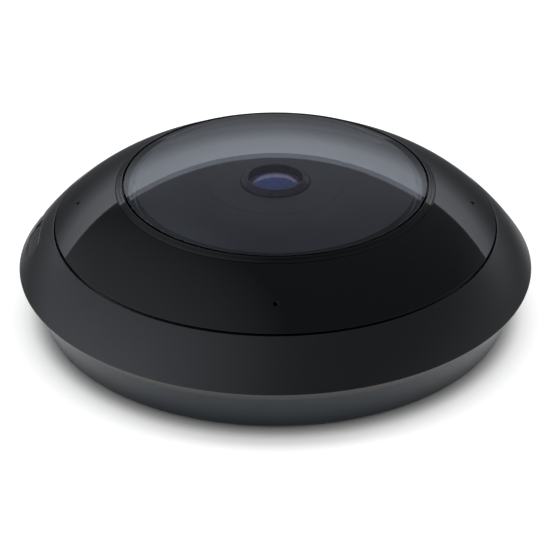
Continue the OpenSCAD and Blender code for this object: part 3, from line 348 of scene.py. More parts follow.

# %% Painted coating reflection: violet seen from the front, red seen from the side
COATING_R = 6.1
RIM_REDDENING = 0.22
RED_FROM = 0.58
RED_TO = 0.82
COATING_CLOUD = 0.12
VIOLET = (0.20, 0.26, 0.46, 1.0)
RED = (0.34, 0.17, 0.20, 1.0)

lens_coating_painted, tree, shader = new_finish("lens_coating_painted")
tilted = tree.nodes.new("ShaderNodeLayerWeight").outputs["Facing"]
from_axis = add(tree, "ShaderNodeVectorMath", {"operation": "MULTIPLY"}, Vector=place(tree))
from_axis.inputs[1].default_value = (1 / (COATING_R * MM), 1 / (COATING_R * MM), 0.0)
share_of_r = add(tree, "ShaderNodeVectorMath", {"operation": "LENGTH"}, Vector=from_axis.outputs[0])
at_rim = maths(tree, "POWER", share_of_r.outputs["Value"], 2.0)
tilted = maths(tree, "MULTIPLY_ADD", at_rim, RIM_REDDENING, tilted)
cloud = use(tree, uneven, PerMetre=260.0, Low=-COATING_CLOUD, High=COATING_CLOUD)["Value"]
redness = spread(tree, maths(tree, "ADD", tilted, cloud), RED_FROM, RED_TO, 0.0, 1.0)
# Painted reflection: the coating's violet and red shine go into the base colour.
put(shader.inputs["Base Color"], blend_colours(tree, redness, VIOLET, RED))
put(shader.inputs["Roughness"], use(tree, uneven, PerMetre=300.0, Low=0.22, High=0.34)["Value"])
shader.inputs["Metallic"].default_value = 0.08
shader.inputs["Specular IOR Level"].default_value = 0.2
print("coating turns red from", RED_FROM, "to", RED_TO)

# %% [markdown]
# ## Metals, rubber and electronics
# What lies under the casing is seen only from below or through gaps, but each part still gets
# the finish of the real thing, because the model may be opened up or turned over. They differ
# only in numbers, so one table holds them and a loop makes them.

# %% Inner finishes
INNER = {
    "screw_steel": dict(colour=(0.52, 0.53, 0.55), rough=0.32, metal=1.0, grain_um=1.0, streak=0.4),
    "plate_zinc": dict(colour=(0.50, 0.51, 0.53), rough=0.36, metal=1.0, grain_per_m=1200.0,
                       grain_um=3.0, tone=0.18, streak=0.5, worn=0.4),
    "socket_nickel": dict(colour=(0.47, 0.48, 0.50), rough=0.30, metal=1.0, grain_um=1.5, streak=0.4),
    "contact_gold": dict(colour=(0.82, 0.60, 0.24), rough=0.22, metal=1.0, grain_um=0.5),
    "soft_rubber": dict(colour=(0.012, 0.012, 0.013), rough=0.75, grain_per_m=2200.0,
                        grain_um=8.0, dusty=0.1),
    "board_green": dict(colour=(0.012, 0.070, 0.042), rough=0.35, grain_per_m=900.0, grain_um=3.0, coat=0.3),
    "chip_resin": dict(colour=(0.020, 0.021, 0.023), rough=0.6, grain_um=6.0),
    "pad_grey": dict(colour=(0.26, 0.29, 0.34), rough=0.85, grain_per_m=1500.0, grain_um=8.0),
    "milled_aluminium": dict(colour=(0.63, 0.64, 0.66), rough=0.35, metal=1.0, grain_um=1.5, streak=0.6),
    "cast_aluminium": dict(colour=(0.42, 0.43, 0.45), rough=0.5, metal=1.0, grain_per_m=1800.0, grain_um=8.0),
    "capacitor_can": dict(colour=(0.32, 0.33, 0.36), rough=0.3, metal=1.0, grain_um=1.0),
    "connector_ivory": dict(colour=(0.68, 0.66, 0.57), rough=0.5, grain_um=3.0),
    "flex_amber": dict(colour=(0.42, 0.19, 0.05), rough=0.3, grain_per_m=800.0, grain_um=2.0, coat=0.4),
    "coil_copper": dict(colour=(0.55, 0.22, 0.08), rough=0.3, metal=1.0, grain_um=3.0, streak=0.6),
    "lock_ring_grey": dict(colour=(0.12, 0.12, 0.13), rough=0.35, metal=0.8, grain_um=1.5, streak=0.4),
    "lamp_resin": dict(colour=(0.62, 0.58, 0.46), rough=0.15, grain_um=0.5),
    "mic_can": dict(colour=(0.60, 0.61, 0.62), rough=0.28, metal=1.0, grain_um=1.0),
    "switch_resin": dict(colour=(0.045, 0.045, 0.05), rough=0.5, grain_um=3.0),
    "carriage_black": dict(colour=(0.018, 0.018, 0.020), rough=0.5, grain_um=3.0),
    "magnet_nickel": dict(colour=(0.58, 0.58, 0.60), rough=0.15, metal=1.0, grain_um=0.5),
    "plunger_red": dict(colour=(0.25, 0.045, 0.035), rough=0.45, grain_um=3.0),
    "sensor_cover": dict(colour=(0.03, 0.05, 0.08), rough=0.08, grain_um=0.3, coat=1.0),
}
for name, values in INNER.items():
    solid_finish(name, **values)
print("solid finishes:", len(finishes))

# %% [markdown]
# ## Glass
# Real glass bends and mirrors light, and a shadow under it is only a little darker. Cycles
# would make that shadow black, so the shader is mixed with a Transparent one for shadow rays
# alone: the lamps then shine through the window onto the plate. The window is slightly smoked,
# and what it mirrors is a little bluer than what passes through it.

# %% Glass finishes
def see_through(tree, shader, share, colour):
    """Lets light pass straight through a material where share is 1."""
    clear = add(tree, "ShaderNodeBsdfTransparent", Color=colour)
    mixed = add(tree, "ShaderNodeMixShader", Fac=share)
    put(mixed.inputs[1], shader.outputs[0])
    put(mixed.inputs[2], clear.outputs[0])
    put(tree.nodes["Material Output"].inputs["Surface"], mixed.outputs[0])


def glass_finish(name, colour, ior=1.49, smear=0.02, coating=None, dusty=0.12):
    """Clear or tinted glass that lets the lamps through. A coating tints what it mirrors."""
    made, tree, shader = new_finish(name)
    if coating:
        shader.inputs["Specular Tint"].default_value = (*coating, 1.0)
    shader.inputs["Base Color"].default_value = (*colour, 1.0)
    shader.inputs["Transmission Weight"].default_value = 1.0
    shader.inputs["IOR"].default_value = ior
    gloss = use(tree, uneven, PerMetre=25.0, Low=0.0, High=smear)["Value"]
    mask = use(tree, dust, PerMetre=1800.0, Amount=dusty)["Mask"]
    put(shader.inputs["Roughness"], maths(tree, "MULTIPLY_ADD", mask, 0.2, gloss))
    path = tree.nodes.new("ShaderNodeLightPath")
    see_through(tree, shader, path.outputs["Is Shadow Ray"], (*colour, 1.0))
    return made


window_clear = glass_finish("window_clear", (0.69, 0.70, 0.74), ior=1.55, smear=0.006,
                            coating=(0.84, 0.93, 1.0), dusty=0.03)
lens_glass = glass_finish("lens_glass", (0.86, 0.85, 0.97), ior=1.5, smear=0.03,
                          coating=(0.20, 0.22, 0.40), dusty=0.02)
glass_finish("filter_blue", (0.35, 0.62, 0.68))
glass_finish("filter_clear", (0.86, 0.90, 0.91))
print("finishes in all:", len(finishes))

# %% [markdown]
# ## Turned profiles
# Band, trim ring, window, plates and lens are all turned shapes: one section, spun round the
# lens axis. A section is a list of corners, and each corner may have a radius. The rounding
# matters more than it seems, because a sharp edge has no highlight and looks drawn. The true
# normal of every section point is kept too, so that the spun surface mirrors light as calmly
# as the real moulding.

# %% Sections with rounded corners
ON_AXIS = 1e-6


def section(corners, pieces=5):
    """From corners (r, z, rounding), against the clock: points (r, z, normal r, normal z, edge)."""
    count = len(corners)
    points = []
    for i, (r, z, radius) in enumerate(corners):
        here = Vector((r, z))
        before = Vector(corners[i - 1][:2])
        after = Vector(corners[(i + 1) % count][:2])
        way_in = (here - before).normalized()
        way_out = (after - here).normalized()
        normal_in = Vector((way_in.y, -way_in.x))
        normal_out = Vector((way_out.y, -way_out.x))
        if radius == 0:
            normal = (normal_in + normal_out).normalized()
            points.append((r, z, normal.x, normal.y, 0.0))
            continue
        turn = math.acos(max(-1.0, min(1.0, way_in.dot(way_out))))
        reach = radius * math.tan(turn / 2)
        first = here - way_in * reach
        side = 1.0 if way_in.x * way_out.y - way_in.y * way_out.x > 0 else -1.0
        middle = first - normal_in * radius * side
        for k in range(pieces + 1):
            angle = turn * k / pieces * side
            normal = Vector((
                normal_in.x * math.cos(angle) - normal_in.y * math.sin(angle),
                normal_in.x * math.sin(angle) + normal_in.y * math.cos(angle),
            ))
            spot = middle + normal * radius * side
            points.append((spot.x, spot.y, normal.x, normal.y, 1.0))
    return points


# %% Spin a section round the lens axis
def turned(name, points, steps=256):
    """A mesh object from a section, with an attribute that is 1 on its rounded edges."""
    shape = bmesh.new()
    edge_layer = shape.verts.layers.float.new("edge")
    rings = []
    for r, z, _, _, edge_value in points:
        r = max(r, 0.0)
        around = 1 if r < ON_AXIS else steps
        ring = []
        for k in range(around):
            angle = 2 * math.pi * k / steps
            vert = shape.verts.new((r * math.cos(angle) * MM, r * math.sin(angle) * MM, z * MM))
            vert[edge_layer] = edge_value
            ring.append(vert)
        rings.append(ring)
    for i, ring in enumerate(rings):
        above = rings[(i + 1) % len(rings)]
        if len(ring) == 1 and len(above) == 1:
            continue
        for k in range(steps):
            n = (k + 1) % steps
            corners = (ring[k % len(ring)], ring[n % len(ring)], above[n % len(above)], above[k % len(above)])
            shape.faces.new(list(dict.fromkeys(corners)))
    bmesh.ops.recalc_face_normals(shape, faces=shape.faces)
    mesh = bpy.data.meshes.new(name)
    shape.to_mesh(mesh)
    shape.free()
    piece = bpy.data.objects.new(name, mesh)
    scene.collection.objects.link(piece)
    return piece


# %% Exact normals for a spun shape
def true_normals(piece, points):
    """Gives a turned mesh the exact normals of its section. Cut faces keep their own."""
    mesh = piece.data
    mesh.shade_smooth()
    ends = np.array(points)
    starts = np.roll(ends, 1, axis=0)
    count = len(mesh.vertices)
    where = np.empty(count * 3)
    mesh.vertices.foreach_get("co", where)
    where = where.reshape(-1, 3) / MM
    radius = np.hypot(where[:, 0], where[:, 1])
    best = np.full(count, 1e9)
    normal_r = np.zeros(count)
    normal_z = np.zeros(count)
    for start, end in zip(starts, ends):
        along = end[:2] - start[:2]
        length = along @ along
        if length < 1e-12:
            continue
        t = np.clip(((radius - start[0]) * along[0] + (where[:, 2] - start[1]) * along[1]) / length, 0, 1)
        away = (radius - start[0] - t * along[0]) ** 2 + (where[:, 2] - start[1] - t * along[1]) ** 2
        closer = away < best - 1e-12
        best[closer] = away[closer]
        normal_r[closer] = (start[2] + (end[2] - start[2]) * t)[closer]
        normal_z[closer] = (start[3] + (end[3] - start[3]) * t)[closer]
    safe = np.where(radius < ON_AXIS, 1.0, radius)
    exact = np.stack([where[:, 0] / safe * normal_r, where[:, 1] / safe * normal_r, normal_z], axis=1)
    exact /= np.linalg.norm(exact, axis=1, keepdims=True)
    loops = np.empty(len(mesh.loops), dtype=int)
    mesh.loops.foreach_get("vertex_index", loops)
    wanted = exact[loops]
    for face in mesh.polygons:
        if face.material_index > 0:
            wanted[face.loop_start:face.loop_start + face.loop_total] = 0.0
    mesh.normals_split_custom_set(wanted.tolist())


# %% [markdown]
# ## Hand a piece over
# Each finished piece rides on a body of the CAD model, so that it moves with the joints. The CAD
# node that it stands for is hidden.

# %% Dress and ride
def hand_over(piece, body, finish, replaced):
    """Finishes a piece: material, body and the CAD node that it stands for, which is hidden."""
    if piece.data.materials:
        piece.data.materials[0] = finish
    else:
        piece.data.materials.append(finish)
    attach(piece, body)
    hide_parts(replaced)
    print("%-22s %6d faces" % (piece.name, len(piece.data.polygons)))


def turned_piece(name, corners, finish, replaced, steps, pieces=5):
    """A whole turned piece from the corners of its section, its poles closed."""
    points = section(corners, pieces)
    points = [(0.0, p[1], 0.0, math.copysign(1.0, p[3]), 0.0) if p[0] < ON_AXIS else p for p in points]
    made = turned(name, points, steps)
    true_normals(made, points)
    hand_over(made, "camera", finish, replaced)


def smooth(piece, degrees):
    """Smooth shading, but an edge that turns by more than this stays sharp."""
    piece.data.shade_smooth()
    piece.data.set_sharp_from_angle(angle=math.radians(degrees))


# %% [markdown]
# ## The crown
# Seen in section, the band and the trim ring are one arc of 55 mm radius from the lip of the
# window down to the rim. A groove half a millimetre wide parts them. The arc's centre follows
# from its two ends.

# %% The arc of the crown
RIM_Z = 13.309
LIP_R = 38.9
LIP_Z = 33.809
CROWN_R = 55.0
BAND_WIDTH = 9.0
GROOVE_WIDTH = 0.5

chord = Vector((LIP_R - rim_r, LIP_Z - RIM_Z))
middle = Vector((LIP_R + rim_r, LIP_Z + RIM_Z)) / 2
inward = Vector((-chord.y, chord.x)).normalized()
crown_centre = middle + inward * math.sqrt(CROWN_R ** 2 - (chord.length / 2) ** 2)


def crown_tilt(r):
    """Tilt of the crown's normal from the lens axis at a radius, in radians."""
    return math.asin((r - crown_centre.x) / CROWN_R)


def on_crown(tilt, depth):
    """Point of the section at a tilt and a depth under the surface."""
    reach = CROWN_R - depth
    return crown_centre.x + reach * math.sin(tilt), crown_centre.y + reach * math.cos(tilt)


def crown_arc(start, end, depth, count):
    """Points along the crown between two tilts, without its ends."""
    return [(*on_crown(start + (end - start) * k / count, depth), 0) for k in range(1, count)]


groove_tilt = crown_tilt(rim_r - BAND_WIDTH)
groove_half = GROOVE_WIDTH / 2 / CROWN_R
rim_tilt = crown_tilt(rim_r)
print("crown centre: %.3f, %.3f mm" % tuple(crown_centre))

# %% [markdown]
# ## The satin band
# The band runs from the groove to the rim, turns under with a small chamfer and stands on the
# base. Under the groove it has a step that carries the trim ring. It could be cut from a solid,
# but spinning its section makes all of this at once and gives even faces for the highlights.

# %% Section of the band
BAND_WALL = 2.4
SEAM_Z = 11.109
CHAMFER_WIDTH = 1.55
BAND_FOOT_R = 58.4
LEDGE_LENGTH = 3.0
LEDGE_DEPTH = 2.3
LEDGE_WALL = 1.8
FOOT_RISE = 1.6
AROUND = 320

band_start = groove_tilt + groove_half
ledge_in = groove_tilt - LEDGE_LENGTH / CROWN_R
ledge_out = groove_tilt + LEDGE_LENGTH / CROWN_R
knee_tilt = rim_tilt - BAND_WALL / CROWN_R
band_corners = (
    [(BAND_FOOT_R, SEAM_Z, 0.2), (rim_r - CHAMFER_WIDTH, SEAM_Z, 0.25), (rim_r, RIM_Z, 0.3)]
    + crown_arc(rim_tilt, band_start, 0.0, 48)
    + [(*on_crown(band_start, 0.0), 0.22), (*on_crown(band_start, LEDGE_DEPTH), 0.1)]
    + [(*on_crown(ledge_in, LEDGE_DEPTH), 0.2), (*on_crown(ledge_in, LEDGE_DEPTH + LEDGE_WALL), 0.2)]
    + [(*on_crown(ledge_out, LEDGE_DEPTH + LEDGE_WALL), 0.2), (*on_crown(ledge_out, BAND_WALL), 0.3)]
    + crown_arc(ledge_out, knee_tilt, BAND_WALL, 12)
    + [(*on_crown(knee_tilt, BAND_WALL), 0.3), (BAND_FOOT_R, SEAM_Z + FOOT_RISE, 0.2)]
)
band_points = section(band_corners)
outer_band = turned("outer_band_skin", band_points, AROUND)
print("band: %d points in its section" % len(band_points))

# %% [markdown]
# ## The recess of the button
# The button lies in a long recess in the band, with a notch at its back end. The notch's faces get
# the duller black of the lens barrel, as painted shade in that hollow. The recess could be drawn
# into the mesh, but a turned band has no faces along an oval, so a boolean cut makes it: the cutter
# is a long oval that flares a little at the mouth, which rounds the cut edge. The flare follows the
# crown, because the surface falls away along the oval.

# %% The button's own frame
BUTTON_INSET = 3.35
HEIGHT_PASSES = 12

button_tilt = crown_tilt(rim_r - BUTTON_INSET)
button_spot = on_crown(button_tilt, 0.0)
button_move = Matrix.Translation((-button_spot[0], 0, button_spot[1]))
button_frame = button_move @ Matrix.Rotation(-button_tilt, 4, "Y")
print("button's middle, mm: %.2f from the axis, tilted %.1f degrees"
      % (button_spot[0], math.degrees(button_tilt)))


def crown_height(across, along):
    """Height of the crown over the button's frame, where X runs across and Y along the band."""
    height = 0.0
    for _ in range(HEIGHT_PASSES):
        spot = button_frame @ Vector((across, along, height))
        away = math.hypot(math.hypot(spot.x, spot.y) - crown_centre.x, spot.z - crown_centre.y) - CROWN_R
        height -= away
    return height


# %% Outlines, and shells stacked from them
def oval(length, width, grow, steps=16):
    """Outline of a long oval, its length along Y."""
    half = (length - width) / 2
    radius = width / 2 + grow
    points = []
    for side in (1, -1):
        for k in range(steps + 1):
            angle = math.pi * k / steps + (0 if side == 1 else math.pi)
            points.append((radius * math.cos(angle), radius * math.sin(angle) + side * half))
    return points


def circle(radius, steps=24):
    """Outline of a round hole or pin."""
    angles = [2 * math.pi * k / steps for k in range(steps)]
    return [(radius * math.cos(angle), radius * math.sin(angle)) for angle in angles]


def at_height(outline, height, right=0.0, along=0.0):
    """An outline as a row of points at one height, moved sideways where wanted."""
    return [(x + right, y + along, height) for x, y in outline]


def stacked(name, rows, frame_matrix):
    """A closed shell from rows of points with the same count, its ends capped."""
    shape = bmesh.new()
    rings = [[shape.verts.new(frame_matrix @ Vector(p) * MM) for p in row] for row in rows]
    count = len(rings[0])
    for low, high in zip(rings, rings[1:]):
        for k in range(count):
            n = (k + 1) % count
            shape.faces.new((low[k], low[n], high[n], high[k]))
    shape.faces.new(list(reversed(rings[0])))
    shape.faces.new(rings[-1])
    bmesh.ops.recalc_face_normals(shape, faces=shape.faces)
    mesh = bpy.data.meshes.new(name)
    shape.to_mesh(mesh)
    shape.free()
    made = bpy.data.objects.new(name, mesh)
    scene.collection.objects.link(made)
    return made


# %% Cut with a boolean
def carve(piece, cutters, slot_index):
    """Cuts shapes out of a piece and deletes them. The cut faces get their own slot index."""
    for cutter in cutters:
        for face in cutter.data.polygons:
            face.material_index = slot_index
        change = piece.modifiers.new("cut", "BOOLEAN")
        change.object = cutter
        change.solver = "EXACT"
        change.material_mode = "INDEX"
    seen = piece.evaluated_get(bpy.context.evaluated_depsgraph_get())
    mesh = bpy.data.meshes.new_from_object(seen)
    piece.modifiers.clear()
    old = piece.data
    piece.data = mesh
    bpy.data.meshes.remove(old)
    for cutter in cutters:
        bpy.data.objects.remove(cutter)
    mesh.name = piece.name


# %% Cutters with a rounded mouth
BUTTON_LENGTH = 13.6
BUTTON_WIDTH = 4.6
RECESS_WIDTH = 0.55
RECESS_DEPTH = 0.22
MOUTH_ROUND = 0.2
MOUTH_ANGLE = 75
MOUTH_FLARE = 1.6
OUTSIDE = 1.5

full_length = BUTTON_LENGTH + 2 * RECESS_WIDTH
full_width = BUTTON_WIDTH + 2 * RECESS_WIDTH


def mouth_rows(length, width, floor, steps=5):
    """Rows of a cutter whose mouth is rounded where it meets the crown."""
    rows = [at_height(oval(length, width, 0.0), floor)]
    for k in range(steps + 1):
        angle = math.radians(MOUTH_ANGLE) * k / steps
        grow = MOUTH_ROUND * (1 - math.cos(angle))
        rows.append([
            (x, y, crown_height(x, y) - MOUTH_ROUND + MOUTH_ROUND * math.sin(angle))
            for x, y in oval(length, width, grow)
        ])
    outline = oval(length, width, MOUTH_ROUND * MOUTH_FLARE)
    rows.append([(x, y, crown_height(x, y) + OUTSIDE) for x, y in outline])
    return rows


def straight_hole(name, outline, beyond):
    """A cutter straight through the band's wall and a little beyond it."""
    rows = [at_height(outline, height) for height in (-BAND_WALL - beyond, OUTSIDE)]
    return stacked(name, rows, button_frame)


recess_cutter = stacked("recess_cutter", mouth_rows(full_length, full_width, -RECESS_DEPTH), button_frame)
print("recess: %.1f by %.1f mm" % (full_length, full_width))

# %% The notch at the back end
NOTCH_LENGTH = 4.2
NOTCH_WIDTH = 3.0
NOTCH_DEPTH = 1.6
NOTCH_UPHILL = 0.9
NOTCH_STEP = 0.25
NOTCH_TAPER = 0.8
NOTCH_INWARD = 0.2

notch_along = full_length / 2 - NOTCH_INWARD
notch_rows = []
for share, grow, height in (
    (NOTCH_TAPER, 0.0, -NOTCH_DEPTH),
    (1.0, 0.0, -NOTCH_STEP),
    (1.0, NOTCH_STEP, OUTSIDE),
):
    outline = oval(NOTCH_LENGTH * share, NOTCH_WIDTH * share, grow)
    notch_rows.append(at_height(outline, height, NOTCH_UPHILL, notch_along))
notch_cutter = stacked("notch_cutter", notch_rows, button_frame)
print("notch: %.1f mm from the button's middle" % notch_along)

# %% Holes for the button and the light, and the cuts
BUTTON_GAP = 0.08
BUTTON_BEYOND = 2.5
LIGHT_OFFSET = 15.4
LIGHT_D = 1.4
LIGHT_FIT = 0.05
LIGHT_BEYOND = 3.0

button_outline = oval(BUTTON_LENGTH + 2 * BUTTON_GAP, BUTTON_WIDTH + 2 * BUTTON_GAP, 0.0)
button_hole = straight_hole("button_hole", button_outline, BUTTON_BEYOND)
light_outline = [(x, y + LIGHT_OFFSET) for x, y in circle(LIGHT_D / 2 + LIGHT_FIT)]
light_hole = straight_hole("light_hole", light_outline, LIGHT_BEYOND)
# Slot 0 is the band itself, slot 1 the cut faces and slot 2 the notch, in the duller lens black as painted
# shade.
for finish in (band_satin, band_satin, lens_black):
    outer_band.data.materials.append(finish)
carve(outer_band, [recess_cutter, button_hole, light_hole], 1)
carve(outer_band, [notch_cutter], 2)
true_normals(outer_band, band_points)
hand_over(outer_band, "camera", band_satin, "outer_band")

# %% [markdown]
# ## The reset button and the status light
# The button is a long oval cap whose top follows the crown and lies just below it. Further
# down it widens to a flange, which keeps it in the band, and narrows to a round stem. It is
# built in rows of the same outline, each at its own depth, because that keeps the rounding of
# its edge even all round. The status light behind it is a small rod with a domed end.

# %% Button
BUTTON_SUNK = 0.12
BUTTON_ROUND = 0.3
FLANGE_WIDTH = 0.6
FLANGE_FROM = -3.6
FLANGE_TO = -2.7
STEM_R = 1.0
STEM_FROM = -4.6
ROUND_STEPS = 5
TOP_RINGS = (0.3, 0.7, 1.2, 1.8)
BUTTON_SHARP = 40


def button_row(grow, depth_of):
    """The button's outline at a depth that may follow the crown."""
    return [(x, y, depth_of(x, y)) for x, y in oval(BUTTON_LENGTH, BUTTON_WIDTH, grow, 20)]


def stem_row(depth):
    """The button's outline drawn in to the round stem."""
    row = button_row(0.0, lambda x, y: depth)
    return [(x * STEM_R / (BUTTON_WIDTH / 2), y * STEM_R / (BUTTON_LENGTH / 2), z) for x, y, z in row]


cap_rows = [
    stem_row(STEM_FROM),
    stem_row(FLANGE_FROM),
    button_row(FLANGE_WIDTH, lambda x, y: FLANGE_FROM),
    button_row(FLANGE_WIDTH, lambda x, y: FLANGE_TO),
    button_row(0.0, lambda x, y: FLANGE_TO),
]
for k in range(ROUND_STEPS + 1):
    angle = math.radians(90) * k / ROUND_STEPS
    grow = -BUTTON_ROUND * (1 - math.cos(angle))
    lift = BUTTON_ROUND * math.sin(angle)
    cap_rows.append(button_row(grow, lambda x, y: crown_height(x, y) - BUTTON_SUNK - BUTTON_ROUND + lift))
for inset in TOP_RINGS:
    cap_rows.append(button_row(-BUTTON_ROUND - inset, lambda x, y: crown_height(x, y) - BUTTON_SUNK))
reset_button = stacked("reset_button_cap", cap_rows, button_frame)
smooth(reset_button, BUTTON_SHARP)
hand_over(reset_button, "button", button_satin, "reset_button")

# %% Status light
LIGHT_FROM = -4.2
LIGHT_RISE = 0.3
LIGHT_RINGS = (1.0, 0.92, 0.75, 0.45, 0.15)
LIGHT_SHARP = 50

light_rows = [at_height(circle(LIGHT_D / 2), LIGHT_FROM, along=LIGHT_OFFSET)]
for share in LIGHT_RINGS:
    rise = LIGHT_RISE * math.sqrt(1 - share ** 2)
    outline = [(x, y + LIGHT_OFFSET) for x, y in circle(LIGHT_D / 2 * share)]
    light_rows.append([(x, y, crown_height(x, y) + rise) for x, y in outline])
status_light = stacked("status_light_lens", light_rows, button_frame)
smooth(status_light, LIGHT_SHARP)
hand_over(status_light, "camera", status_white, "status_light_pipe")

# %% [markdown]
# ## The polished trim ring
# Between band and window lies a ring as black and smooth as a piano. Its skirt goes down
# round the window, and its upper edge has two narrow beads with a fine groove between them.
# Four pinholes let sound through to the microphones. Flared pegs cut them, so that each has
# a soft rim.

# %% Section of the trim ring
RING_WALL = 2.0
SKIRT_IN_R = 37.42
SKIRT_OUT_R = 39.1
SKIRT_STEP = 0.6
DECK_Z = 30.6
WINDOW_EDGE_Z = 34.859
BEAD_STEP = 0.2
BEAD_OVER = 0.04
BEAD_ROUND = 0.07
FINE_GROOVE = 0.17
FINE_DEPTH = 0.16
FINE_ROUND = 0.02

ring_end = groove_tilt - groove_half
inner_tilt = math.asin((SKIRT_OUT_R + SKIRT_STEP - crown_centre.x) / (CROWN_R - RING_WALL))
inner_z = on_crown(inner_tilt, RING_WALL)[1]
lip_out = crown_tilt(LIP_R + FINE_GROOVE)
bead_foot = Vector((LIP_R - BEAD_OVER, LIP_Z + BEAD_STEP))
bead_end = Vector((SKIRT_IN_R, WINDOW_EDGE_Z + BEAD_OVER))
bead_way = (bead_end - bead_foot).normalized()
bead_in = Vector((-bead_way.y, bead_way.x)) * FINE_DEPTH
bead_half = (bead_end - bead_foot).length / 2
groove_a = bead_foot + bead_way * (bead_half - FINE_GROOVE / 2)
groove_b = bead_foot + bead_way * (bead_half + FINE_GROOVE / 2)
trim_corners = (
    [(SKIRT_IN_R, DECK_Z, 0.15), (SKIRT_OUT_R, DECK_Z, 0.15), (SKIRT_OUT_R, inner_z - 0.2, 0.2)]
    + crown_arc(inner_tilt, ring_end, RING_WALL, 24)
    + [(*on_crown(ring_end, RING_WALL), 0.2), (*on_crown(ring_end, 0.0), 0.2)]
    + crown_arc(ring_end, lip_out, 0.0, 64)
    + [(*on_crown(lip_out, 0.0), 0.03), (*on_crown(lip_out, FINE_DEPTH), FINE_ROUND)]
    + [(LIP_R, LIP_Z - FINE_DEPTH, FINE_ROUND), (*bead_foot, 0.10), (*groove_a, BEAD_ROUND)]
    + [(*(groove_a + bead_in), FINE_ROUND), (*(groove_b + bead_in), FINE_ROUND)]
    + [(*groove_b, BEAD_ROUND), (*bead_end, 0.14)]
)
trim_points = section(trim_corners)
trim_ring = turned("trim_ring_skin", trim_points, AROUND)
print("trim ring: %d points in its section" % len(trim_points))

# %% Microphone pinholes, as (depth, radius) rows of their cutters
MIC_R = 48.3
PINHOLE_ROWS = ((-RING_WALL - 1, 0.5), (-0.2, 0.5), (-0.1, 0.55), (0.0, 0.7), (0.6, 1.3))

mic_tilt = crown_tilt(MIC_R)
mic_spot = on_crown(mic_tilt, 0.0)
lifted = Matrix.Translation((mic_spot[0], 0, mic_spot[1]))
tilted_out = Matrix.Rotation(mic_tilt, 4, "Y")
pinholes = []
for k in range(4):
    quarter_turn = Matrix.Rotation(math.pi / 2 * k, 4, "Z")
    rows = [at_height(circle(radius), depth) for depth, radius in PINHOLE_ROWS]
    pinholes.append(stacked("pinhole", rows, quarter_turn @ lifted @ tilted_out))
# Slot 0 is the ring itself and slot 1 the cut faces.
for finish in (trim_gloss, trim_gloss):
    trim_ring.data.materials.append(finish)
carve(trim_ring, pinholes, 1)
true_normals(trim_ring, trim_points)
hand_over(trim_ring, "camera", trim_gloss, "trim_ring")

# %% [markdown]
# ## The dome window
# The window is a shell of clear plastic, 3.4 mm thick, cut from a sphere of 88.5 mm radius. It
# is a closed shell with two faces, because real glass shows two reflections, one from each
# face. A small chamfer runs round its edge.

# %% Section of the window
WINDOW_R = 88.5
WINDOW_T = 3.4
WINDOW_EDGE_R = 36.88
WINDOW_SEAT_Z = 31.1
WINDOW_ROUND = 0.06
SEAT_ROUND = 0.1

window_cz = WINDOW_SEAT_Z - math.sqrt((WINDOW_R - WINDOW_T) ** 2 - WINDOW_EDGE_R ** 2)
window_edge_z = window_cz + math.sqrt(WINDOW_R ** 2 - WINDOW_EDGE_R ** 2)


def dome_arc(radius, centre_z, start, end, count):
    """Points of a round face, from one distance from the axis to another."""
    first, last = math.asin(start / radius), math.asin(end / radius)
    spots = []
    for k in range(count + 1):
        tilt = first + (last - first) * k / count
        spots.append((radius * math.sin(tilt), centre_z + radius * math.cos(tilt), 0))
    return spots


window_corners = (
    [(WINDOW_EDGE_R, WINDOW_SEAT_Z, SEAT_ROUND), (WINDOW_EDGE_R, window_edge_z, WINDOW_ROUND)]
    + dome_arc(WINDOW_R, window_cz, WINDOW_EDGE_R, 0.0, 48)[1:]
    + dome_arc(WINDOW_R - WINDOW_T, window_cz, WINDOW_EDGE_R, 0.0, 48)[:0:-1]
)
turned_piece("window_glass", window_corners, window_clear, "window_dome", 192, 4)

# %% [markdown]
# ## What lies behind the window
# The dark plate is flat round the lens and falls softly towards its edge, where the window's
# curve comes down on it. A disc with a fine bevel lies in it round the lens, and only a thin
# seam shows between them. Both are round mouldings, so both are turned. The seam could be
# painted on, but a real gap stays sharp however close one looks.

# %% Face plate
FACE_TOP = 33.35
FACE_R = 33.4
FACE_FALL = 0.85
FACE_FALL_FROM = 22.0
FACE_FALL_STEPS = 12
FACE_OPENING_R = 14.8
SURROUND_R = 16.5
RECESS_RISE = 0.65
SEAM_WIDTH = 0.02
recess_z = DECK_Z + RECESS_RISE

face_fall = []
for k in range(1, FACE_FALL_STEPS):
    share = 1 - k / FACE_FALL_STEPS
    r = FACE_FALL_FROM + (FACE_R - FACE_FALL_FROM) * share
    face_fall.append((r, FACE_TOP - FACE_FALL * share ** 2, 0))
face_corners = [
    (FACE_OPENING_R, DECK_Z, 0.1), (FACE_R, DECK_Z, 0.15), (FACE_R, FACE_TOP - FACE_FALL, 0.1),
    *face_fall,
    (FACE_FALL_FROM, FACE_TOP, 0), (SURROUND_R + SEAM_WIDTH, FACE_TOP, 0.02),
    (SURROUND_R + SEAM_WIDTH, recess_z, 0.03), (FACE_OPENING_R, recess_z, 0.1),
]
turned_piece("face_plate_skin", face_corners, face_satin, "face_plate", 192)

# %% Disc round the lens
LENS_R = 8.25
LENS_SLIT = 0.2
SURROUND_RISE = 0.04

surround_top = FACE_TOP + SURROUND_RISE
surround_corners = [
    (LENS_R + LENS_SLIT, recess_z, 0.08), (SURROUND_R, recess_z, 0.05), (SURROUND_R, FACE_TOP, 0.01),
    (SURROUND_R - SURROUND_RISE, surround_top, 0.02), (LENS_R + LENS_SLIT, surround_top, 0.1),
]
turned_piece("lens_surround_skin", surround_corners, surround_satin, "lens_surround", 160)
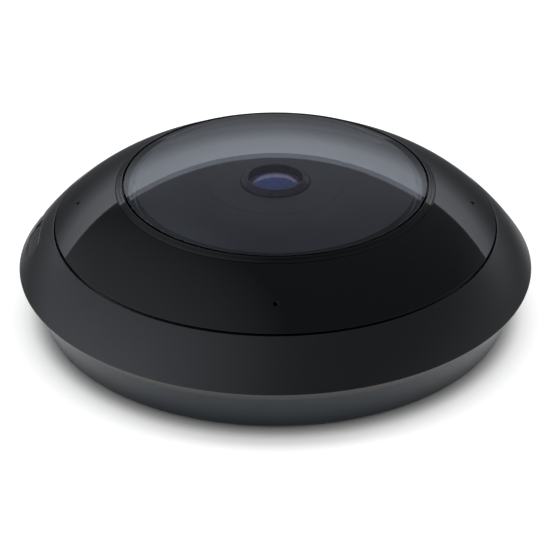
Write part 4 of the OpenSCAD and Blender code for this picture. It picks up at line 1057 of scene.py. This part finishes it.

# %% [markdown]
# ## The lens
# A fisheye lens bulges out of its ring. The ring is a low cone of black anodised aluminium.
# Its front glass is made in two pieces: a clear shell, closed on both sides so that it
# bends and mirrors light as real glass does, and right under it a layer whose colour paints the
# coating's reflection: a violet shine that turns red where it is seen from the side.

# %% Ring of the lens
RING_FOOT_Z = 33.45
RING_CONE_Z = 33.615
RING_TOP_Z = 34.55
RING_TOP_R = 6.94
OPENING_R = 6.55

ring_corners = [
    (OPENING_R, RING_FOOT_Z, 0.0), (LENS_R, RING_FOOT_Z, 0.04),
    (LENS_R, RING_CONE_Z, 0.06), (RING_TOP_R, RING_TOP_Z, 0.12), (OPENING_R, RING_TOP_Z, 0.12),
]
turned_piece("lens_ring_skin", ring_corners, ring_anodised, "lens_retaining_ring", 128)

# %% Front glass, and under it the layer with the painted coating reflection
GLASS_R = 6.5
COATED_RIM_R = 6.3
DOME_R = 14.0
DOME_Z = 20.45
SHELL_T = 0.15
COATED_GAP = 0.05
COATED_FOOT_Z = 30.65

shell_in_r = DOME_R - SHELL_T
shell_rim_r = COATED_RIM_R + COATED_GAP
front_corners = (
    dome_arc(shell_in_r, DOME_Z, 0.0, shell_rim_r, 20)
    + [(GLASS_R, DOME_Z + math.sqrt(shell_in_r ** 2 - shell_rim_r ** 2), 0.0)]
    + dome_arc(DOME_R, DOME_Z, GLASS_R, 0.0, 24)
)
coated_corners = (
    [(0.0, COATED_FOOT_Z, 0), (COATED_RIM_R, COATED_FOOT_Z, 0.0)]
    + dome_arc(shell_in_r - COATED_GAP, DOME_Z, COATED_RIM_R, 0.0, 20)
)
turned_piece("front_lens_glass", front_corners, lens_glass, "front_lens", 96, 3)
turned_piece("front_lens_coating", coated_corners, lens_coating_painted, "front_lens", 96, 3)

# %% [markdown]
# ## Parts that repeat
# Screws, infrared lamps and contacts come in sets of equal parts on a circle or in a row.
# Each could be modelled by hand, but one Geometry Nodes tree does it better: it takes one item
# and sets copies of it out by count, radius and angle, so that a set is a few numbers. It
# ends in Realize Instances and Set Material, because an exported model needs real faces.

# %% A tree that sets copies out
PLACING = {"Count": 4, "Radius": 0.0, "FirstAngle": 0.0, "StepAngle": 0.0, "Height": 0.0,
           "FirstX": 0.0, "StepX": 0.0}
placing = bpy.data.node_groups.new("set_out_copies", "GeometryNodeTree")
placing.interface.new_socket("Geometry", in_out="INPUT", socket_type="NodeSocketGeometry")
for label, value in PLACING.items():
    kind = "NodeSocketInt" if label == "Count" else "NodeSocketFloat"
    placing.interface.new_socket(label, in_out="INPUT", socket_type=kind).default_value = value
placing.interface.new_socket("Finish", in_out="INPUT", socket_type="NodeSocketMaterial")
placing.interface.new_socket("Geometry", in_out="OUTPUT", socket_type="NodeSocketGeometry")
given = placing.nodes.new("NodeGroupInput").outputs
index = placing.nodes.new("GeometryNodeInputIndex").outputs[0]
turn = maths(placing, "MULTIPLY_ADD", index, given["StepAngle"], given["FirstAngle"])
along_x = maths(placing, "MULTIPLY_ADD", index, given["StepX"], given["FirstX"])
spot_x = maths(placing, "MULTIPLY_ADD", maths(placing, "COSINE", turn), given["Radius"], along_x)
spot_y = maths(placing, "MULTIPLY", maths(placing, "SINE", turn), given["Radius"])
spot = add(placing, "ShaderNodeCombineXYZ", X=spot_x, Y=spot_y, Z=given["Height"]).outputs[0]
facing = add(placing, "ShaderNodeCombineXYZ", Z=turn).outputs[0]
points = add(placing, "GeometryNodePoints", Count=given["Count"], Position=spot).outputs[0]
copies = add(placing, "GeometryNodeInstanceOnPoints", Points=points,
             Instance=given["Geometry"], Rotation=facing)
real = add(placing, "GeometryNodeRealizeInstances", Geometry=copies.outputs[0]).outputs[0]
coloured = add(placing, "GeometryNodeSetMaterial", Geometry=real, Material=given["Finish"]).outputs[0]
put(placing.nodes.new("NodeGroupOutput").inputs["Geometry"], coloured)
print("tree that sets copies out: %d nodes" % len(placing.nodes))


# %% Use the tree on an item
ITEM_SHARP = 35


def set_out(item, finish, **values):
    """The mesh of one item set out by the tree. Lengths in millimetres, angles in degrees."""
    change = item.modifiers.new("set_out", "NODES")
    change.node_group = placing
    for socket in placing.interface.items_tree:
        if socket.in_out == "INPUT" and socket.name in values:
            value = values[socket.name]
            if "Angle" in socket.name:
                value = math.radians(value)
            elif socket.name != "Count":
                value = value * MM
            change[socket.identifier] = value
        elif socket.name == "Finish":
            change[socket.identifier] = finish
    seen = item.evaluated_get(bpy.context.evaluated_depsgraph_get())
    mesh = bpy.data.meshes.new_from_object(seen)
    item.modifiers.remove(change)
    return mesh


def repeated(name, item, slot, finish, replaced, **places):
    """Makes a piece of equal items, and hands it over."""
    mesh = set_out(item, finish, **places)
    old = item.data
    item.data = mesh
    bpy.data.meshes.remove(old)
    item.name = name
    mesh.name = name
    smooth(item, ITEM_SHARP)
    hand_over(item, "camera", finish, replaced)


# %% [markdown]
# ## Screws
# These screws differ in length and head, and all have a thread. A real thread is a spiral, but
# rings of the same pitch look alike at this size and make a clean closed mesh. A cut makes the
# hexagon for the key. The case screws go in from below, so theirs is turned upside down.

# %% A screw: head, thread and the hexagon for its key
THREAD_PITCH = 0.5
THREAD_DEPTH = 0.18
UNDERHEAD_ROUND = 0.15
HEAD_ROUNDNESS = 0.35
KEY_ABOVE = 0.5
UPRIGHT = Matrix.Identity(4)


def screw_item(head_r, head_h, shank_r, shank_l, key_r, key_depth):
    """A screw with its head's top at z 0 and its shank below."""
    end = -head_h - shank_l
    core_r = shank_r - THREAD_DEPTH
    rows = [(0.0, end, 0.0), (core_r, end, 0.0)]
    z = end + THREAD_PITCH
    while z < -head_h - THREAD_PITCH:
        rows += [(shank_r, z, 0.0), (core_r, z + THREAD_PITCH / 2, 0.0)]
        z += THREAD_PITCH
    rows += [(shank_r, -head_h, 0.0), (head_r, -head_h, UNDERHEAD_ROUND)]
    rows += [(head_r, 0.0, head_h * HEAD_ROUNDNESS), (0.0, 0.0, 0.0)]
    item = turned("screw", section(rows, 4), 32)
    hexagon = circle(key_r / math.cos(math.pi / 6), 6)
    key_rows = [at_height(hexagon, height) for height in (-key_depth, KEY_ABOVE)]
    carve(item, [stacked("key", key_rows, UPRIGHT)], 0)
    return item


# %% The screws of the camera: size, length and places
CASE_SCREW = dict(head_r=2.9, head_h=2.2, shank_r=1.5, key_r=1.3, key_depth=1.1)
SMALL_SCREW = dict(head_r=1.9, head_h=1.2, shank_r=1.0, key_r=0.75, key_depth=0.7)
SCREW_SETS = {
    "case": (CASE_SCREW, 21.2, dict(Count=4, Radius=43.5, FirstAngle=45, StepAngle=90, Height=4.4)),
    "lens_mount": (SMALL_SCREW, 2.3, dict(Count=3, Radius=16.0, FirstAngle=60, StepAngle=120, Height=23.5)),
    "lamp_board": (SMALL_SCREW, 2.8, dict(Count=3, Radius=28.5, FirstAngle=90, StepAngle=120, Height=29.35)),
    "spreader": (SMALL_SCREW, 5.4, dict(Count=2, Radius=34.0, FirstAngle=-112, StepAngle=44, Height=25.8)),
}
for holds, (sizes, length, places) in SCREW_SETS.items():
    screw = screw_item(shank_l=length, **sizes)
    if holds == "case":
        screw.data.transform(Matrix.Rotation(math.pi, 4, "X"))
    repeated(holds + "_screw_set", screw, "screw_steel", finishes["screw_steel"], holds + "_screws", **places)

# %% [markdown]
# ## Lamps and contacts
# An infrared lamp is a small square body with a clear dome, and a contact of the network
# socket is a bent spring wire. Both are stacked from rows of one outline, as the button is.

# %% Infrared lamps: a square body with a dome
LAMP_BODY = 3.5
LAMP_CORNER = 0.35
LAMP_BODY_H = 1.2
LAMP_DOME_R = 1.3
LAMP_DOME_H = 1.0
BODY_ROWS = ((0.1, 0.0), (0.0, 0.1), (0.0, LAMP_BODY_H - 0.12), (0.12, LAMP_BODY_H))
DOME_RINGS = (1.0, 0.97, 0.87, 0.7, 0.45, 0.12)


def rounded_square(side, radius, steps=6):
    """Outline of a square with round corners."""
    spots = []
    for quarter in range(4):
        middle = Matrix.Rotation(math.pi / 2 * quarter, 2) @ Vector((side / 2 - radius, side / 2 - radius))
        for k in range(steps + 1):
            angle = math.pi / 2 * (quarter + k / steps)
            spots.append((middle.x + radius * math.cos(angle), middle.y + radius * math.sin(angle)))
    return spots


lamp_rows = []
for inset, z in BODY_ROWS:
    lamp_rows.append(at_height(rounded_square(LAMP_BODY - 2 * inset, LAMP_CORNER), z))
for share in DOME_RINGS:
    height = LAMP_BODY_H + LAMP_DOME_H * math.sqrt(1 - share ** 2)
    radius = LAMP_DOME_R * share
    outline = [(x, y, math.hypot(x, y)) for x, y in rounded_square(LAMP_BODY, LAMP_CORNER)]
    lamp_rows.append([(radius * x / away, radius * y / away, height) for x, y, away in outline])
repeated("infrared_lamp_set", stacked("lamp", lamp_rows, UPRIGHT), "lamp", finishes["lamp_resin"],
         "infrared_lamps", Count=6, Radius=24.1, StepAngle=60, Height=28.15)

# %% Contacts of the network socket, as the (y, z) path of one wire
WIRE_R = 0.22
WIRE_PITCH = 1.02
WIRE_COUNT = 8
WIRE_PATH = ((25.05, 9.25), (25.05, 10.0), (24.75, 11.5), (24.62, 13.2),
             (24.75, 15.0), (25.05, 16.4), (25.05, 17.15))

wire_rows = [at_height(circle(WIRE_R, 12), z, along=y) for y, z in WIRE_PATH]
repeated("contact_wire_set", stacked("wire", wire_rows, UPRIGHT), "contact_gold", finishes["contact_gold"],
         "jack_contacts", Count=WIRE_COUNT, FirstX=-(WIRE_COUNT - 1) / 2 * WIRE_PITCH, StepX=WIRE_PITCH)

# %% [markdown]
# ## Finishes for the parts that keep their CAD shape
# These nodes already have the right shape, so they only get a better material in their slots.
# A table says which finish goes on which nodes. The nodes that a piece stands for are in it
# too, so that a hidden solid never brings a plain colour back when it is shown.

# %% Dress the CAD nodes
KEPT = {
    "plate_zinc": ["mount_plate"],
    "base_satin": ["rear_housing"],
    "soft_rubber": ["housing_seal", "jack_gasket", "window_gasket", "mic_boots"],
    "screw_steel": ["case_screws", "spreader_screws", "lens_mount_screws", "sensor_screws",
                    "lamp_board_screws"],
    "socket_nickel": ["ethernet_jack"],
    "contact_gold": ["jack_contacts"],
    "board_green": ["main_board", "sensor_board", "lamp_board", "side_board"],
    "chip_resin": ["processor", "memory_chips", "power_transformer"],
    "pad_grey": ["thermal_pad"],
    "milled_aluminium": ["heat_spreader"],
    "capacitor_can": ["capacitors"],
    "connector_ivory": ["board_connectors"],
    "cast_aluminium": ["chassis"],
    "lens_black": ["lens_mount", "lens_barrel"],
    "sensor_cover": ["image_sensor"],
    "flex_amber": ["sensor_flex", "lamp_flex", "mic_flex"],
    "coil_copper": ["filter_coil"],
    "lens_glass": ["middle_lens", "rear_lens"],
    "lens_coating_painted": ["front_lens"],
    "lock_ring_grey": ["lens_lock_ring"],
    "lamp_resin": ["infrared_lamps", "status_led"],
    "mic_can": ["microphones"],
    "switch_resin": ["reset_switch"],
    "status_white": ["status_light_pipe"],
    "carriage_black": ["filter_carriage"],
    "filter_blue": ["ir_cut_filter"],
    "filter_clear": ["clear_filter"],
    "magnet_nickel": ["filter_magnet"],
    "button_satin": ["reset_button"],
    "plunger_red": ["switch_plunger"],
    "band_satin": ["outer_band"],
    "trim_gloss": ["trim_ring"],
    "window_clear": ["window_dome"],
    "face_satin": ["face_plate"],
    "surround_satin": ["lens_surround"],
    "ring_anodised": ["lens_retaining_ring"],
}
for finish_name, node_names in KEPT.items():
    for node_name in node_names:
        slots = nodes[node_name].material_slots
        for entry in slots:
            entry.material = finishes[finish_name]
        if not slots:
            nodes[node_name].data.materials.append(finishes[finish_name])
print("nodes with a procedural finish:", sum(len(names) for names in KEPT.values()), "of", len(nodes))

# %% [markdown]
# ## Floor and background
# The floor is a pale sheet that keeps the camera's shadow. A glow that the picture's rays see is
# faint at the foot and rises to pure white further out, which paints a contact shadow round it.
# Only the part close to the camera shows in the gloss, as on a set where the object stands on
# a small white riser in a darkened room. A Light Path node tells the kinds of ray apart. From
# below the sheet is clear, and the disc right under the camera glows, so that the model can be
# looked at from there too.

# %% A sheet of the set
def stage_sheet(name, corners, finish):
    """A flat sheet of the set, from its corners in metres."""
    mesh = bpy.data.meshes.new(name)
    mesh.from_pydata(corners, [], [tuple(range(len(corners)))])
    made = bpy.data.objects.new(name, mesh)
    made.data.materials.append(finish)
    scene.collection.objects.link(made)
    return made


def in_the_picture(tree, path):
    """1 for the rays that make the picture: straight, mirrored or through glass."""
    seen = maths(tree, "MAXIMUM", path["Is Camera Ray"], path["Is Glossy Ray"])
    return maths(tree, "MAXIMUM", seen, path["Is Transmission Ray"])


# %% Floor
FLOOR_HALF = 6.0
FLOOR_WHITE = 0.92
FLOOR_ROUGH = 0.45
FLOOR_MIRROR = 0.2
UNDER_R = 0.046
UNDER_FADE = 0.004
UNDER_GLOW = 0.5
RISER_R = 0.083
RISER_FADE = 0.032
GLOW_FROM = 0.057
GLOW_TO = 0.077
PAINTED_SHADOW_STOPS = [(0.0, 0.02), (0.06, 0.09), (0.125, 0.22), (0.225, 0.42), (0.35, 0.47), (0.65, 0.43),
              (1.0, 0.40)]

floor_white, tree, shader = new_finish("floor_white")
shader.inputs["Base Color"].default_value = grey(FLOOR_WHITE)
shader.inputs["Roughness"].default_value = FLOOR_ROUGH
shader.inputs["Specular IOR Level"].default_value = FLOOR_MIRROR
path = tree.nodes.new("ShaderNodeLightPath").outputs
from_middle = add(tree, "ShaderNodeVectorMath", {"operation": "LENGTH"}, Vector=place(tree)).outputs["Value"]
# Painted shadow: the glow is almost nothing at the foot and rises outwards, so the floor round the foot stays
# darker on top of the lamp's real shadow.
outside = spread(tree, from_middle, GLOW_FROM, GLOW_TO, 0.0, 1.0)
inside = spread(tree, from_middle, UNDER_R, UNDER_R + UNDER_FADE, 1.0, 0.0)
painted_shadow_glow = ramp(tree, outside, [(at, grey(level)) for at, level in PAINTED_SHADOW_STOPS])
put(shader.inputs["Emission Color"], blend_colours(tree, inside, painted_shadow_glow, grey(UNDER_GLOW)))
put(shader.inputs["Emission Strength"], maths(tree, "MAXIMUM", in_the_picture(tree, path), inside))
beyond = spread(tree, from_middle, RISER_R, RISER_R + RISER_FADE, 0.0, 1.0)
unseen = maths(tree, "MULTIPLY", beyond, path["Is Glossy Ray"])
from_under = tree.nodes.new("ShaderNodeNewGeometry").outputs["Backfacing"]
see_through(tree, shader, maths(tree, "MAXIMUM", unseen, from_under), grey(1.0))
stage_sheet("floor", [
    (x * FLOOR_HALF, y * FLOOR_HALF, 0) for x, y in ((-1, -1), (1, -1), (1, 1), (-1, 1))
], floor_white)
print("floor: %.0f m across" % (2 * FLOOR_HALF))

# %% [markdown]
# ## Light
# A soft lamp overhead lights the floor and gives the short shadow round the foot. Black gloss
# has almost no colour of its own: it shows what it mirrors. So the set has what a photographer
# would put round it: a dark room with a soft glow from the left and a faint one low at each
# side, and behind the object a pale wall that gets brighter upwards and ends at a clean,
# slightly bowed edge. That edge is the line that crosses the window and the trim ring.

# %% World: white where it is seen, a plain fill where it lights
FILL = 0.42
world = bpy.data.worlds.new("studio_world")
scene.world = world
world.use_nodes = True
tree = world.node_tree
background = tree.nodes["Background"]
seen = in_the_picture(tree, tree.nodes.new("ShaderNodeLightPath").outputs)
put(background.inputs["Color"], blend_colours(tree, seen, grey(FILL), grey(1.0)))
background.inputs["Strength"].default_value = 1.0
print("fill light:", FILL)

# %% Overhead lamp: a rectangle that lights but isn't mirrored
LAMP_SPOT = Vector((0.0, 0.10, 1.0))
LAMP_WIDTH = 1.4
LAMP_LENGTH = 0.4
LAMP_WATTS = 6.4

lamp_data = bpy.data.lights.new("overhead_lamp", "AREA")
lamp_data.shape = "RECTANGLE"
lamp_data.size = LAMP_WIDTH
lamp_data.size_y = LAMP_LENGTH
lamp_data.energy = LAMP_WATTS
lamp = bpy.data.objects.new("overhead_lamp", lamp_data)
lamp.location = LAMP_SPOT
lamp.rotation_mode = "QUATERNION"
lamp.rotation_quaternion = (Vector() - LAMP_SPOT).to_track_quat("-Z", "Y")
lamp.visible_glossy = False
lamp.visible_transmission = False
scene.collection.objects.link(lamp)
print("lamp: %.1f W at %.2f m" % (LAMP_WATTS, LAMP_SPOT.length))


# %% Surfaces that only mirrors and glass see
def glow_finish(name, level_of):
    """A glowing surface. level_of makes the nodes that say how bright each point is."""
    made = bpy.data.materials.new(name)
    made.use_nodes = True
    tree = made.node_tree
    tree.nodes.clear()
    glow = add(tree, "ShaderNodeEmission", Color=level_of(tree), Strength=1.0)
    end = tree.nodes.new("ShaderNodeOutputMaterial")
    put(end.inputs["Surface"], glow.outputs[0])
    return made


def only_in_mirrors(thing):
    """Hides a surface of the set from the camera and keeps it from lighting anything."""
    thing.visible_camera = False
    thing.visible_diffuse = False
    thing.visible_shadow = False
    thing.visible_volume_scatter = False


# %% The wall behind, with its levels as (height, brightness)
WALL_Y = 2.0
WALL_FOOT = -0.3
WALL_EDGE = 0.564
WALL_BOW = 0.034
WALL_STEPS = 20
WALL_LEVELS = [(0.0, 0.10), (0.1, 0.10), (0.2, 0.105), (0.3, 0.11), (0.36, 0.125), (0.48, 0.20),
               (0.55, 0.30), (0.62, 0.43), (0.67, 0.54), (0.71, 0.66), (0.76, 0.77), (0.87, 0.93),
               (0.93, 1.06), (1.0, 1.18)]
WALL_TINT = (0.95, 1.0, 1.08)
wall_low, wall_high = WALL_FOOT * WALL_Y, WALL_EDGE * WALL_Y


def wall_level(tree):
    """Brighter upwards, and a little blue."""
    axes = add(tree, "ShaderNodeSeparateXYZ", Vector=place(tree))
    height = spread(tree, axes.outputs["Z"], wall_low, wall_high, 0.0, 1.0)
    stops = [(at, (*[level * tint for tint in WALL_TINT], 1.0)) for at, level in WALL_LEVELS]
    return ramp(tree, height, stops)


wall_corners = [(2 * WALL_Y, WALL_Y, wall_low), (-2 * WALL_Y, WALL_Y, wall_low)]
for k in range(-2 * WALL_STEPS, 2 * WALL_STEPS + 1):
    share = k / WALL_STEPS
    wall_corners.append((share * WALL_Y, WALL_Y, (WALL_EDGE - WALL_BOW * abs(share) ** 4) * WALL_Y))
wall = stage_sheet("back_wall", wall_corners, glow_finish("wall_glow", wall_level))
only_in_mirrors(wall)
print("wall: %.1f m behind, %.2f m high" % (WALL_Y, wall_high))

# %% The dark room and the way that its glow comes from
ROOM_R = 9.0
ROOM_LEVEL = 0.145
ROOM_TINT = (0.95, 1.0, 1.10)
GLOW_WAY = (-0.871, -0.317, 0.375)
BROAD_FROM = 0.40
BROAD_GAIN = 0.78
CORE_FROM, CORE_TO, CORE_GLOW = 0.88, 0.99, 0.10
SIDE_FROM, SIDE_TO, SIDE_GLOW = 0.62, 0.88, 0.16
LOW_FROM, LOW_TO = 0.25, 0.52


def room_level(tree):
    """Dark, with a broad glow from the left, a brighter core in it, and low glows at the sides."""
    facing = add(tree, "ShaderNodeVectorMath", {"operation": "NORMALIZE"}, Vector=place(tree)).outputs[0]
    toward = add(tree, "ShaderNodeVectorMath", {"operation": "DOT_PRODUCT"})
    put(toward.inputs[0], facing)
    toward.inputs[1].default_value = GLOW_WAY
    along = toward.outputs["Value"]
    broad = maths(tree, "MAXIMUM", maths(tree, "SUBTRACT", along, BROAD_FROM), 0.0)
    core = spread(tree, along, CORE_FROM, CORE_TO, 0.0, CORE_GLOW)
    total = maths(tree, "MULTIPLY_ADD", broad, BROAD_GAIN, maths(tree, "ADD", core, ROOM_LEVEL))
    axes = add(tree, "ShaderNodeSeparateXYZ", Vector=facing)
    from_side = maths(tree, "ABSOLUTE", axes.outputs["X"])
    sideways = spread(tree, from_side, SIDE_FROM, SIDE_TO, 0.0, SIDE_GLOW)
    low_down = spread(tree, axes.outputs["Z"], LOW_FROM, LOW_TO, 1.0, 0.0)
    total = maths(tree, "MULTIPLY_ADD", sideways, low_down, total)
    tinted = add(tree, "ShaderNodeVectorMath", {"operation": "SCALE"}, Scale=total)
    tinted.inputs[0].default_value = ROOM_TINT
    return tinted.outputs[0]


room_shape = bmesh.new()
bmesh.ops.create_icosphere(room_shape, subdivisions=4, radius=ROOM_R)
room_mesh = bpy.data.meshes.new("dark_room")
room_shape.to_mesh(room_mesh)
room_shape.free()
room_mesh.materials.append(glow_finish("room_glow", room_level))
room = bpy.data.objects.new("dark_room", room_mesh)
scene.collection.objects.link(room)
only_in_mirrors(room)
print("dark room: %.0f m across" % (2 * ROOM_R))
